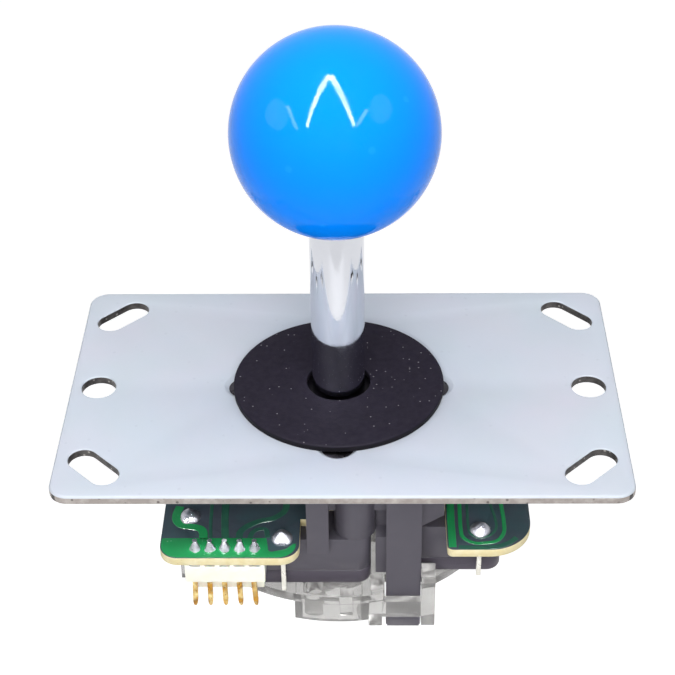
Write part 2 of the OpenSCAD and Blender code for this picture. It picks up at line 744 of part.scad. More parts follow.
// One closed coil along a helix, with flat-lying end turns
module centring_spring() {
    sides = 8;
    per_turn = 20;
    end_turns = 0.75;
    bottom = cup_floor_top + face_gap + wire_d / 2;
    top = spring_top - wire_d / 2;
    rings = round(per_turn * (spring_turns + 2 * end_turns));
    pitch_turns = spring_turns - 0.5;
    function turn(i) = i / per_turn;
    function rise(t) = min(max(t - end_turns, 0) / pitch_turns, 1);
    function lift(t) = let (low = wire_d * 0.55 * min(t / end_turns, 1),
        high = wire_d * 0.55 * max(0, min((t - end_turns - pitch_turns) / (end_turns + 0.5), 1)))
        bottom + low + high + rise(t) * (top - bottom - 1.1 * wire_d);
    points = [for (i = [0:rings], j = [0:sides - 1])
        let (a = 360 * turn(i), b = 360 * j / sides, r = spring_r + wire_d / 2 * cos(b))
        [r * cos(a), r * sin(a), lift(turn(i)) + wire_d / 2 * sin(b)]];
    walls = [for (i = [0:rings - 1], j = [0:sides - 1])
        [i * sides + j, i * sides + (j + 1) % sides,
            (i + 1) * sides + (j + 1) % sides, (i + 1) * sides + j]];
    first = [for (j = [sides - 1:-1:0]) j];
    last = [for (j = [0:sides - 1]) rings * sides + j];
    color("silver") at_axis()
        polyhedron(points = points, faces = concat(walls, [first], [last]), convexity = 10);
}

module pivot_bush() {
    color("whitesmoke") at_axis() difference() {
        intersection() {
            translate([0, 0, pivot_z]) sphere(r = bush_r, $fn = 96);
            translate([0, 0, bush_bottom])
                cylinder(h = bush_top - bush_bottom, r = bush_r + cut, $fn = 96);
        }
        translate([0, 0, bush_bottom - cut])
            cylinder(h = bush_top - bush_bottom + 2 * cut, r = shank_d / 2 + running_gap,
                $fn = 64);
    }
}

module shaft() {
    stud_top = ball_flat_z + stud_len;
    color("silver") at_axis() difference() {
        union() {
            translate([0, 0, shoulder_z])
                cylinder(h = ball_flat_z - shoulder_z, d = shaft_d, $fn = 96);
            translate([0, 0, shank_bottom])
                cylinder(h = shoulder_z - shank_bottom + eps, d = shank_d, $fn = 64);
            translate([0, 0, ball_flat_z - eps])
                cylinder(h = stud_len - 0.8 + eps, d = shank_d, $fn = 64);
            translate([0, 0, stud_top - 0.8])
                cylinder(h = 0.8, d1 = shank_d, d2 = shank_d - 1.6, $fn = 64);
        }
        // groove for the clip, and a driver slot in the end
        translate([0, 0, clip_top - clip_t - face_gap]) difference() {
            cylinder(h = clip_t + 2 * face_gap, r = shank_d, $fn = 64);
            translate([0, 0, -cut]) cylinder(h = clip_t + 2 * cut, r = groove_r, $fn = 64);
        }
        span(-shank_d, shank_d, -0.5, 0.5, shank_bottom - cut, shank_bottom + 1.2);
    }
}

module ball_top() {
    color("dodgerblue") at_axis() difference() {
        translate([0, 0, ball_height]) sphere(r = ball_r, $fn = 128);
        translate([0, 0, ball_flat_z - ball_r]) cylinder(h = ball_r, r = ball_r, $fn = 64);
        translate([0, 0, ball_flat_z - cut])
            cylinder(h = insert_len + cut + face_gap, r = insert_r + thread_gap, $fn = 64);
    }
}

// Threaded insert moulded into the ball
module ball_insert() {
    color("goldenrod") at_axis() translate([0, 0, ball_flat_z + face_gap]) difference() {
        cylinder(h = insert_len - face_gap, r = insert_r, $fn = 64);
        translate([0, 0, -cut])
            cylinder(h = stud_len + cut + 0.2, r = shank_d / 2 + thread_gap, $fn = 64);
        // two knurl grooves
        for (z = [0.3, 0.6]) translate([0, 0, insert_len * z]) difference() {
            cylinder(h = 0.8, r = insert_r + cut, $fn = 64);
            translate([0, 0, -cut]) cylinder(h = 0.8 + 2 * cut, r = insert_r - 0.4, $fn = 64);
        }
    }
}

module dust_washer() {
    color("#2b2930") at_axis() tube(washer_bottom, washer_t, washer_d / 2, washer_hole_r, 128);
}

module actuator() {
    floor_bottom = cup_floor_top - cup_floor_t;
    color("white") at_axis() difference() {
        union() {
            tube(floor_bottom, cup_top, cup_r, cup_r - cup_wall, 96);
            tube(switch_mid - flange_t / 2, switch_mid + flange_t / 2, flange_r,
                cup_r - cup_wall / 2, 96);
            translate([0, 0, floor_bottom]) cylinder(h = cup_floor_t, r = cup_r, $fn = 96);
            translate([0, 0, hub_bottom])
                cylinder(h = floor_bottom - hub_bottom + eps, r = hub_r, $fn = 96);
        }
        translate([0, 0, hub_bottom - cut])
            cylinder(h = cup_floor_top - hub_bottom + 2 * cut, r = shank_d / 2 + thread_gap,
                $fn = 64);
    }
}

// Flat C with three inward teeth
module e_clip() {
    color("dimgray") at_axis() translate([0, 0, clip_top - clip_t]) linear_extrude(clip_t)
        difference() {
            circle(r = clip_r, $fn = 64);
            circle(r = clip_r - 1.3, $fn = 64);
            translate([0, -1.9]) square([clip_r + cut, 3.8]);
        }
    color("dimgray") at_axis() translate([0, 0, clip_top - clip_t]) linear_extrude(clip_t)
        for (a = [80, 180, 280]) rotate(a) difference() {
            translate([0, -0.8]) square([clip_r - 0.6, 1.6]);
            circle(r = groove_r + thread_gap, $fn = 64);
        }
}

mounting_plate();
plate_screws();
base_body();
circuit_board();
solder_joints();
header_housing();
header_pins();
switch_case(FRONT);  // switch_case_front
switch_case(RIGHT);  // switch_case_right
switch_case(REAR);  // switch_case_rear
switch_case(LEFT);  // switch_case_left
switch_cover(FRONT);  // switch_cover_front
switch_cover(RIGHT);  // switch_cover_right
switch_cover(REAR);  // switch_cover_rear
switch_cover(LEFT);  // switch_cover_left
switch_terminals(FRONT);  // switch_terminals_front
switch_terminals(RIGHT);  // switch_terminals_right
switch_terminals(REAR);  // switch_terminals_rear
switch_terminals(LEFT);  // switch_terminals_left
switch_plunger(FRONT);  // switch_plunger_front
switch_plunger(RIGHT);  // switch_plunger_right
switch_plunger(REAR);  // switch_plunger_rear
switch_plunger(LEFT);  // switch_plunger_left
switch_blade(FRONT);  // switch_blade_front
switch_blade(RIGHT);  // switch_blade_right
switch_blade(REAR);  // switch_blade_rear
switch_blade(LEFT);  // switch_blade_left
restrictor_gate();
spring_collar();
centring_spring();
pivot_bush();
shaft();
ball_top();
ball_insert();
dust_washer();
actuator();
e_clip();
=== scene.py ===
"""Looks of a ball-top arcade lever on a steel mounting plate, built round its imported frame.

The plate's top face is Z = 0 and the lever stands up from it. Lengths in the classes are in
millimetres and become metres when a mesh is made.
"""

from __future__ import annotations

import logging
import math
from dataclasses import dataclass, field
from enum import Enum
from typing import Sequence

import bmesh
import bpy
import numpy as np
from mathutils import Matrix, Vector
from mathutils.geometry import delaunay_2d_cdt


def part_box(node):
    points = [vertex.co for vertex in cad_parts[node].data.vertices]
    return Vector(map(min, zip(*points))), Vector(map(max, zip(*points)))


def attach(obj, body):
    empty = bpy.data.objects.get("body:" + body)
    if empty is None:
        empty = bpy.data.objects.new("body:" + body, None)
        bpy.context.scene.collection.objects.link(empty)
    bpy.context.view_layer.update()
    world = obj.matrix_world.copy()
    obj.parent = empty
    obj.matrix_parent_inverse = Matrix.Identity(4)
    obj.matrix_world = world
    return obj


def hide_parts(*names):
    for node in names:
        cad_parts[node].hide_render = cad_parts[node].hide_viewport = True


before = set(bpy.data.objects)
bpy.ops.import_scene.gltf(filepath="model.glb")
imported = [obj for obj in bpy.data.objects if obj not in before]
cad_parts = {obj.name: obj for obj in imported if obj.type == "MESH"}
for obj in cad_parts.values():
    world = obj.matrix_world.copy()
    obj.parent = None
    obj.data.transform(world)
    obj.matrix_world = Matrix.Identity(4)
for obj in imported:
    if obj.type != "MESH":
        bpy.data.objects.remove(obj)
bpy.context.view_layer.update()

LOG = logging.getLogger("lever")

# One millimetre in metres.
MM = 0.001
# Lengths that count as nothing: where a vector is divided by its length, and between points.
SHORTEST, TINY = 1e-12, 1e-6
# In a new mesh, points closer than MERGE become one and edges under THIN go, in metres.
MERGE, THIN = 3e-7, 1e-7
# Clearance round turned pieces, in millimetres.
GAP = 0.05
# Faces within SAME_PLANE degrees are one plane, and edges over BEVEL_FROM degrees are rounded.
SAME_PLANE, BEVEL_FROM, STEPS_IN_BEVEL = 1.0, 28.0, 2

Array = np.ndarray
Rgb = tuple[int, int, int]
Point = tuple[float, float]
Trace = tuple[float, tuple[Point, ...]]
Solid = tuple[Array, list]
PieceObject = bpy.types.Object
NodeSocket = bpy.types.NodeSocket


# ---- Surfaces ----


def grid_faces(rows: int, columns: int, close_rows: bool, close_columns: bool) -> Array:
    """Quads that join neighbouring points of a grid.

    Args:
        rows: Number of rows of points.
        columns: Number of points in a row.
        close_rows: Whether the last row meets the first.
        close_columns: Whether a row's last point meets its first.

    Returns:
        One row of four point indices for each quad.
    """
    i = np.arange(rows if close_rows else rows - 1)
    j = np.arange(columns if close_columns else columns - 1)
    i, j = np.meshgrid(i, j, indexing="ij")
    below, right = (i + 1) % rows, (j + 1) % columns
    corners = [i * columns + j, below * columns + j, below * columns + right, i * columns + right]
    return np.stack(corners, -1).reshape(-1, 4)


def unit(vectors: Array) -> Array:
    """Each vector divided by its length."""
    return vectors / np.maximum(np.linalg.norm(vectors, axis=-1, keepdims=True), SHORTEST)


def rectangle(low: Sequence[float], high: Sequence[float]) -> list[Point]:
    """Corners of a level rectangle, anticlockwise from its lowest."""
    return [(low[0], low[1]), (high[0], low[1]), (high[0], high[1]), (low[0], high[1])]


def turn_z(angle: float) -> Array:
    """The matrix that turns by an angle about Z."""
    c, s = math.cos(angle), math.sin(angle)
    return np.array([[c, -s, 0], [s, c, 0], [0, 0, 1]])


def rounded(
    corners: Sequence[Sequence[float]], radii: float | Sequence[float], steps: int
) -> Array:
    """A closed outline whose corners are arcs.

    At a corner of half angle h and radius r the arc starts r / tan h from the corner, and its
    centre lies r / sin h along the corner's bisector.

    Args:
        corners: The corners, in order.
        radii: One radius for all corners, or one for each.
        steps: Number of chords in an arc.

    Returns:
        The outline's points, without repeats.
    """
    p = np.asarray(corners, float)
    r = np.broadcast_to(np.asarray(radii, float), len(p))[:, None]
    before, after = unit(np.roll(p, 1, 0) - p), unit(np.roll(p, -1, 0) - p)
    half = np.arccos(np.clip((before * after).sum(1, keepdims=True), -1, 1)) / 2
    centre = p + unit(before + after) * r / np.maximum(np.sin(half), TINY)
    reach = r / np.maximum(np.tan(half), TINY)
    start, end = p + before * reach - centre, p + after * reach - centre
    a0, a1 = np.arctan2(start[:, 1], start[:, 0]), np.arctan2(end[:, 1], end[:, 0])
    turn = (a1 - a0 + np.pi) % (2 * np.pi) - np.pi
    angle = a0[:, None] + turn[:, None] * np.linspace(0, 1, steps + 1)
    arcs = centre[:, None] + r[:, None] * np.stack([np.cos(angle), np.sin(angle)], -1)
    line = np.where(r[:, None] > 0, arcs, p[:, None]).reshape(-1, 2)
    return line[np.linalg.norm(line - np.roll(line, 1, 0), axis=1) > TINY]


def profile(rows: Sequence[tuple[float, float, float]], steps: int = 6) -> Array:
    """A turned piece's outline, from each corner's radius, height and rounding."""
    table = np.array(rows, float)
    return rounded(table[:, :2], table[:, 2], steps)


def circle(x: float, y: float, radius: float, count: int) -> Array:
    """Points round a circle, anticlockwise."""
    angle = np.linspace(0, 2 * np.pi, count, endpoint=False)
    return np.stack([x + radius * np.cos(angle), y + radius * np.sin(angle)], -1)


def ball_arc(radius: float, middle: float, start: float, end: float, count: int) -> Array:
    """Radius and height along a ball's outline, between two angles above level."""
    angle = np.linspace(start, end, count)
    return np.stack([radius * np.cos(angle), middle + radius * np.sin(angle)], -1)


def miters(loop: Array) -> Array:
    """Outward direction at each point of an anticlockwise loop, so long that it moves both edges
    there by one.

    Args:
        loop: The loop's points.

    Returns:
        One vector for each point.
    """
    edge = unit(np.roll(loop, -1, 0) - loop)
    normal = np.stack([edge[:, 1], -edge[:, 0]], -1)
    back = np.roll(normal, 1, 0)
    return (normal + back) / (1 + (normal * back).sum(1, keepdims=True))


def cleaned(mesh: bpy.types.Mesh, merge: float, thin: float, flatten: bool = False) -> None:
    """Merges a mesh's doubles, drops its slivers and points its faces outwards.

    Args:
        mesh: The mesh, in metres.
        merge: Points closer than this become one.
        thin: Edges shorter than this go.
        flatten: Whether triangles in one plane become one face.
    """
    work = bmesh.new()
    work.from_mesh(mesh)
    bmesh.ops.remove_doubles(work, verts=work.verts, dist=merge)
    bmesh.ops.dissolve_degenerate(work, edges=work.edges, dist=thin)
    if flatten:
        level = math.radians(SAME_PLANE)
        bmesh.ops.dissolve_limit(work, angle_limit=level, verts=work.verts, edges=work.edges)
    bmesh.ops.recalc_face_normals(work, faces=work.faces)
    work.to_mesh(mesh)
    work.free()


def piece_from(name: str, points: Array, faces: Sequence, sharp: float = 35.0) -> PieceObject:
    """A mesh object from points in millimetres, with doubles merged and faces pointing outwards.

    Args:
        name: The piece's name.
        points: One row of x, y and z for each point.
        faces: Arrays of faces, each with any number of corners a face.
        sharp: Edges that bend by more degrees than this stay sharp.

    Returns:
        The object, at the origin.
    """
    mesh = bpy.data.meshes.new(name)
    rows = [face for block in faces for face in np.asarray(block).tolist()]
    mesh.from_pydata((np.asarray(points, float).reshape(-1, 3) * MM).tolist(), [], rows)
    cleaned(mesh, MERGE, THIN)
    return smooth_object(name, mesh, sharp)


def smooth_object(name: str, mesh: bpy.types.Mesh, sharp: float) -> PieceObject:
    """An object for a mesh, shaded smooth except where it bends by more than sharp degrees.

    Args:
        name: The object's name.
        mesh: Its mesh.
        sharp: The angle in degrees.

    Returns:
        The object, at the origin.
    """
    mesh.shade_smooth()
    mesh.set_sharp_from_angle(angle=math.radians(sharp))
    mesh.materials.clear()
    piece = bpy.data.objects.new(name, mesh)
    bpy.context.scene.collection.objects.link(piece)
    return piece


def lathe(
    name: str, outline: Array, centre: Array, ring: bool = False, count: int = 128
) -> PieceObject:
    """A turned piece: the point (r, z) of the outline goes round the axis at every angle.

    Args:
        name: The piece's name.
        outline: Radius and height of each point. It starts and ends on the axis unless ring is set.
        centre: Where the axis is, x and y.
        ring: Whether the outline is a closed loop clear of the axis.
        count: Number of points round the axis.

    Returns:
        The piece.
    """
    angle = np.linspace(0, 2 * np.pi, count, endpoint=False)
    r, z = outline[:, :1], outline[:, 1:]
    x, y = centre[0] + r * np.cos(angle), centre[1] + r * np.sin(angle)
    points = np.stack([x, y, z + 0 * angle], -1)
    return piece_from(name, points, [grid_faces(len(outline), count, ring, True)])


def swept(section: Array, path: Array, scale: Array | None = None) -> Solid:
    """A solid whose section is carried along a path.

    At each point the section stands square to the path, its first axis level and its second
    pointing up or, on an upright path, along Y. Both ends are closed.

    Args:
        section: The section's outline, one row for each point.
        path: The points that the section's origin passes.
        scale: How much the section grows at each point of the path.

    Returns:
        The points and the faces.
    """
    ahead = unit(np.gradient(path, axis=0))
    upright = np.abs(ahead[:, 2:]) > 0.7
    guide = np.where(upright, [[0.0, 1.0, 0.0]], [[0.0, 0.0, 1.0]])
    across = unit(np.cross(ahead, guide))
    above = np.cross(across, ahead)
    size = np.ones(len(path)) if scale is None else np.asarray(scale, float)
    offset = across[:, None] * section[None, :, :1] + above[:, None] * section[None, :, 1:]
    points = path[:, None] + offset * size[:, None, None]
    count = len(section)
    ends = [np.arange(count)[None], np.arange(count)[None] + (len(path) - 1) * count]
    return points.reshape(-1, 3), [grid_faces(len(path), count, False, True), *ends]


def joined(name: str, solids: Sequence[Solid], sharp: float = 35.0) -> PieceObject:
    """One piece that holds several separate solids.

    Args:
        name: The piece's name.
        solids: The points and faces of each solid.
        sharp: Edges that bend by more degrees than this stay sharp.

    Returns:
        The piece.
    """
    points, faces, start = [], [], 0
    for solid, blocks in solids:
        points.append(solid)
        faces.extend(np.asarray(block) + start for block in blocks)
        start += len(solid)
    return piece_from(name, np.concatenate(points), faces, sharp)


def smooth_path(corners: Sequence[Sequence[float]], per_span: int = 8) -> Array:
    """A curve through every corner: a Catmull-Rom cubic on each span, its slope at a corner half
    the step between that corner's neighbours.

    Args:
        corners: The points that it passes.
        per_span: Number of points from one corner up to the next.

    Returns:
        The curve's points.
    """
    p = np.asarray(corners, float)
    padded = np.concatenate([2 * p[:1] - p[1:2], p, 2 * p[-1:] - p[-2:-1]])
    a, b, c, d = (padded[k : len(padded) - 3 + k, None] for k in range(4))
    t = np.linspace(0, 1, per_span, endpoint=False)[None, :, None]
    square, cube = (2 * a - 5 * b + 4 * c - d) * t**2, (3 * b - a - 3 * c + d) * t**3
    cubic = 2 * b + (c - a) * t + square + cube
    return np.concatenate([(cubic / 2).reshape(-1, p.shape[1]), p[-1:]])


@dataclass
class Edge:
    """An outline of a slab or a hole in it, with the wall that runs down from its top.

    Attributes:
        outline: Points of the loop, anticlockwise.
        wall: How far each row of the wall lies inside the material, and its height.
        hole: Whether the material is outside the loop.
    """

    outline: Array
    wall: Array
    hole: bool = False

    def rows(self) -> Array:
        """The wall's points: the outline moved along its miters, at each row's height.

        Returns:
            The points, by row and by place in the outline.
        """
        way = miters(self.outline) * (1 if self.hole else -1)
        flat = self.outline[None] + way[None] * self.wall[:, None, :1]
        height = np.broadcast_to(self.wall[:, None, 1:], flat.shape[:2] + (1,))
        return np.concatenate([flat, height], -1)


def in_material(points: Array, loops: Sequence[Array]) -> Array:
    """Which points have an odd number of loop edges to their right.

    Args:
        points: Places, x and y.
        loops: The outline and the holes of a flat piece.

    Returns:
        True for each point that lies in the material.
    """
    a = np.concatenate(loops)
    b = np.concatenate([np.roll(loop, -1, 0) for loop in loops])
    x, y = points[:, :1], points[:, 1:]
    spans = (a[:, 1] > y) != (b[:, 1] > y)
    rise = np.where(b[:, 1] == a[:, 1], 1.0, b[:, 1] - a[:, 1])
    crossing = a[:, 0] + (y - a[:, 1]) / rise * (b[:, 0] - a[:, 0])
    return (spans & (x < crossing)).sum(1) % 2 == 1


def cap(loops: Sequence[Array], height: float) -> tuple[Array, Array]:
    """Triangles that fill the material between loops at one height.

    Args:
        loops: The outline and the holes.
        height: Height of the cap.

    Returns:
        The points and the triangles.
    """
    flat = np.concatenate(loops)
    starts = np.cumsum([0] + [len(loop) for loop in loops])
    edges = [
        (int(start + k), int(start + (k + 1) % len(loop)))
        for start, loop in zip(starts, loops)
        for k in range(len(loop))
    ]
    verts, _, faces, *_ = delaunay_2d_cdt([tuple(p) for p in flat.tolist()], edges, [], 0, 1e-9)
    place = np.array([tuple(v) for v in verts])
    triangles = np.array([tuple(f) for f in faces])
    inside = in_material(place[triangles].mean(1), loops)
    points = np.concatenate([place, np.full((len(place), 1), height)], 1)
    return points, triangles[inside]


def slab(edges: Sequence[Edge]) -> Solid:
    """A flat solid: the walls of its outline and holes, and a cap above and below.

    Args:
        edges: The outline first, then the holes.

    Returns:
        The points and the faces.
    """
    points, faces, start = [], [], 0
    for edge in edges:
        rows = edge.rows()
        faces.append(grid_faces(len(rows), rows.shape[1], False, True) + start)
        points.append(rows.reshape(-1, 3))
        start += len(points[-1])
    for row, height in ((0, edges[0].wall[0, 1]), (-1, edges[0].wall[-1, 1])):
        flat, triangles = cap([edge.rows()[row, :, :2] for edge in edges], height)
        points.append(flat)
        faces.append(triangles + start)
        start += len(flat)
    return np.concatenate(points), faces


def soft_wall(top: float, bottom: float, top_r: float, bottom_r: float, steps: int = 5) -> Array:
    """A wall from top to bottom whose two edges are quarter rounds.

    Args:
        top: Height of its upper end.
        bottom: Height of its lower end.
        top_r: Radius of the upper round.
        bottom_r: Radius of the lower round.
        steps: Number of chords in a round.

    Returns:
        How far inside the material each row lies, and its height.
    """
    a = np.linspace(0, np.pi / 2, steps + 1)
    upper = np.stack([top_r * (1 - np.sin(a)), top - top_r * (1 - np.cos(a))], -1)
    lower = np.stack([bottom_r * (1 - np.cos(a)), bottom + bottom_r * (1 - np.sin(a))], -1)
    return np.concatenate([upper, lower])


# ---- The frame's own meshes ----


def islands(node: str) -> list[tuple[Array, Array]]:
    """Lowest and highest corner, in millimetres, of each separate solid of a CAD node.

    Args:
        node: The CAD node.

    Returns:
        The corners, from left to right.
    """
    work = bmesh.new()
    work.from_mesh(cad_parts[node].data)
    bmesh.ops.remove_doubles(work, verts=work.verts, dist=TINY)
    left, boxes = set(work.verts), []
    while left:
        group, edge = [], [left.pop()]
        while edge:
            group.append(edge.pop())
            near = {e.other_vert(group[-1]) for e in group[-1].link_edges} & left
            left -= near
            edge.extend(near)
        co = np.array([v.co for v in group]) / MM
        boxes.append((co.min(0), co.max(0)))
    work.free()
    return sorted(boxes, key=lambda box: tuple(np.round(box[0], 2)))


def node_box(node: str) -> tuple[Array, Array]:
    """Lowest and highest corner of a CAD node, in millimetres."""
    low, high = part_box(node)
    return np.array(low) / MM, np.array(high) / MM


def mesh_values(items: bpy.types.bpy_prop_collection, name: str) -> Array:
    """One vector for each vertex or face of a mesh, such as its place or its normal.

    Args:
        items: The mesh's vertices or faces.
        name: The value's name.

    Returns:
        One row for each item.
    """
    values = np.zeros(len(items) * 3, np.float32)
    items.foreach_get(name, values)
    return values.reshape(-1, 3)


def softened(node: str, name: str, width: float) -> PieceObject:
    """A copy of a CAD node with its flat faces joined up and its sharp edges rounded.

    Args:
        node: The CAD node.
        name: The new piece's name.
        width: How wide the rounding is, in millimetres.

    Returns:
        The piece.
    """
    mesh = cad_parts[node].data.copy()
    cleaned(mesh, TINY, TINY, flatten=True)
    piece = smooth_object(name, mesh, 180)
    bevel = piece.modifiers.new("round", "BEVEL")
    bevel.width = width * MM
    bevel.segments = STEPS_IN_BEVEL
    bevel.limit_method = "ANGLE"
    bevel.angle_limit = math.radians(BEVEL_FROM)
    bevel.harden_normals = True
    bevel.use_clamp_overlap = True
    return piece


# ---- Finishes ----


def linear(colour: Rgb) -> tuple[float, float, float, float]:
    """A colour written in 0 to 255 as the linear values that shaders take."""
    c = np.array(colour) / 255
    value = np.where(c <= 0.04045, c / 12.92, ((c + 0.055) / 1.055) ** 2.4)
    return (*value.tolist(), 1.0)


class Wiring:
    """Short calls for adding and joining the nodes of one tree."""

    def __init__(self, tree: bpy.types.NodeTree) -> None:
        """Keeps the tree."""
        self.tree = tree

    def add(self, kind: str, inputs: dict | None = None, **settings: object) -> bpy.types.Node:
        """A new node.

        Args:
            kind: The node's Blender type, without its ShaderNode prefix.
            inputs: What each input takes, by its name or number: a value, or a socket to join.
            settings: The node's own properties.

        Returns:
            The node.
        """
        made = self.tree.nodes.new(kind if kind.startswith("Node") else "ShaderNode" + kind)
        for key, value in settings.items():
            setattr(made, key, value)
        for key, value in (inputs or {}).items():
            if isinstance(value, NodeSocket):
                self.tree.links.new(value, made.inputs[key])
            else:
                made.inputs[key].default_value = value
        return made

    def maths(self, operation: str, *values: object) -> NodeSocket:
        """The result of a Math node on these values or sockets."""
        return self.add("Math", dict(enumerate(values)), operation=operation).outputs[0]

    def blend(self, share: object, a: object, b: object) -> NodeSocket:
        """Colour a turned into colour b by share."""
        node = self.add("Mix", {0: share, 6: a, 7: b}, data_type="RGBA")
        return node.outputs[2]

    def remap(
        self, value: object, low: float, high: float, start: float, end: float
    ) -> NodeSocket:
        """Value carried from low..high to start..end, and held there outside."""
        return self.add("MapRange", {0: value, 1: low, 2: high, 3: start, 4: end}).outputs[0]

    def noise(
        self, place: NodeSocket, scale: NodeSocket, detail: float, roughness: float = 0.5
    ) -> NodeSocket:
        """The value of a Noise Texture at a place."""
        given = {"Vector": place, "Scale": scale, "Detail": detail, "Roughness": roughness}
        return self.add("TexNoise", given).outputs[0]

    def seen(self) -> NodeSocket:
        """1 on rays from the camera, in reflections and through glass, and 0 on light's own."""
        rays = self.add("LightPath").outputs
        seen = self.maths("MAXIMUM", rays["Is Camera Ray"], rays["Is Glossy Ray"])
        return self.maths("MAXIMUM", seen, rays["Is Transmission Ray"])


class Marks(Wiring):
    """The wiring of an effect's node group, with a method for each effect."""

    def __init__(self, tree: bpy.types.NodeTree) -> None:
        """Keeps the tree and the sockets of the group's inputs."""
        super().__init__(tree)
        self.place, self.scale, self.amount = self.add("NodeGroupInput").outputs[:3]

    def clouds(self) -> NodeSocket:
        """Soft patches from 0 to 1; a larger Amount makes their borders crisper.

        Returns:
            The value.
        """
        away = self.maths("SUBTRACT", self.noise(self.place, self.scale, 3.0, 0.55), 0.5)
        steep = self.maths("MULTIPLY_ADD", self.amount, 6.0, 1.0)
        return self.maths("MULTIPLY_ADD", away, steep, 0.5)

    def grain(self) -> NodeSocket:
        """The height of a moulded or cast surface: noise, and Amount of it about three times finer.

        Returns:
            The value.
        """
        coarse = self.noise(self.place, self.scale, 2.0)
        fine = self.noise(self.place, self.maths("MULTIPLY", self.scale, 3.1), 1.0)
        return self.maths("MULTIPLY_ADD", fine, self.amount, coarse)

    def specks(self) -> NodeSocket:
        """Small dots: the middle of every cell whose random number is under Amount.

        Returns:
            The value.
        """
        cell = self.add("TexVoronoi", {"Vector": self.place, "Scale": self.scale})
        near = self.remap(cell.outputs["Distance"], 0.16, 0.3, 1.0, 0.0)
        number = self.add("SeparateColor", {0: cell.outputs["Color"]}).outputs[0]
        return self.maths("MULTIPLY", near, self.maths("LESS_THAN", number, self.amount))

    def streaks(self) -> NodeSocket:
        """Drawn lines: noise stretched along X, with Amount of a second set along Y.

        Returns:
            The value.
        """
        sets = []
        for stretch in ((0.04, 1.0, 1.0), (1.0, 0.04, 1.0)):
            place = self.add("Mapping", {"Vector": self.place, "Scale": stretch}).outputs[0]
            sets.append(self.noise(place, self.scale, 2.0))
        return self.maths("MULTIPLY_ADD", sets[1], self.amount, sets[0])

    def dust(self) -> NodeSocket:
        """A film on faces that look up, thicker in patches.

        Returns:
            The value.
        """
        up = self.add("SeparateXYZ", {0: self.add("NewGeometry").outputs["Normal"]}).outputs[2]
        patches = self.remap(self.noise(self.place, self.scale, 4.0), 0.35, 0.7, 0.2, 1.0)
        film = self.maths("MULTIPLY", self.remap(up, 0.3, 1.0, 0.0, 1.0), patches)
        return self.maths("MULTIPLY", film, self.amount)


class Effect(Enum):
    """Surface effects that several finishes share, each built once as a node group."""

    CLOUDS = "clouds"
    GRAIN = "grain"
    SPECKS = "specks"
    STREAKS = "streaks"
    DUST = "dust"

    def group(self) -> bpy.types.NodeTree:
        """The effect's node group, built the first time that it is asked for.

        Returns:
            The node group.
        """
        found = bpy.data.node_groups.get(self.value)
        if found:
            return found
        tree = bpy.data.node_groups.new(self.value, "ShaderNodeTree")
        tree.interface.new_socket("Vector", in_out="INPUT", socket_type="NodeSocketVector")
        for name, value in (("Scale", 1.0), ("Amount", 0.5)):
            socket = tree.interface.new_socket(name, in_out="INPUT", socket_type="NodeSocketFloat")
            socket.default_value = value
        tree.interface.new_socket("Value", in_out="OUTPUT", socket_type="NodeSocketFloat")
        marks = Marks(tree)
        make = {
            Effect.CLOUDS: marks.clouds,
            Effect.GRAIN: marks.grain,
            Effect.SPECKS: marks.specks,
            Effect.STREAKS: marks.streaks,
            Effect.DUST: marks.dust,
        }[self]
        marks.add("NodeGroupOutput", {0: make()})
        return tree


@dataclass(frozen=True)
class Layer:
    """One effect's part in a finish.

    Attributes:
        effect: The effect.
        size: Size of its marks in millimetres.
        amount: The effect's own Amount.
        share: How strongly it turns the colour.
        colour: The colour it brings, for effects that tint.
    """

    effect: Effect
    size: float
    amount: float
    share: float = 0.0
    colour: Rgb = (255, 255, 255)


# The patches by which every finish's roughness wanders.
GLOSS_PATCHES = Layer(Effect.CLOUDS, 2.5, 0.4)
# How deep light scatters in pale plastic, in metres.
SCATTER_DEPTH = 0.002


def new_material(name: str) -> tuple[bpy.types.Material, Wiring]:
    """A material with an empty node tree, and the tree's wiring.

    Args:
        name: The material's name.

    Returns:
        The material and the wiring.
    """
    made = bpy.data.materials.new(name)
    made.use_nodes = True
    made.node_tree.nodes.clear()
    return made, Wiring(made.node_tree)


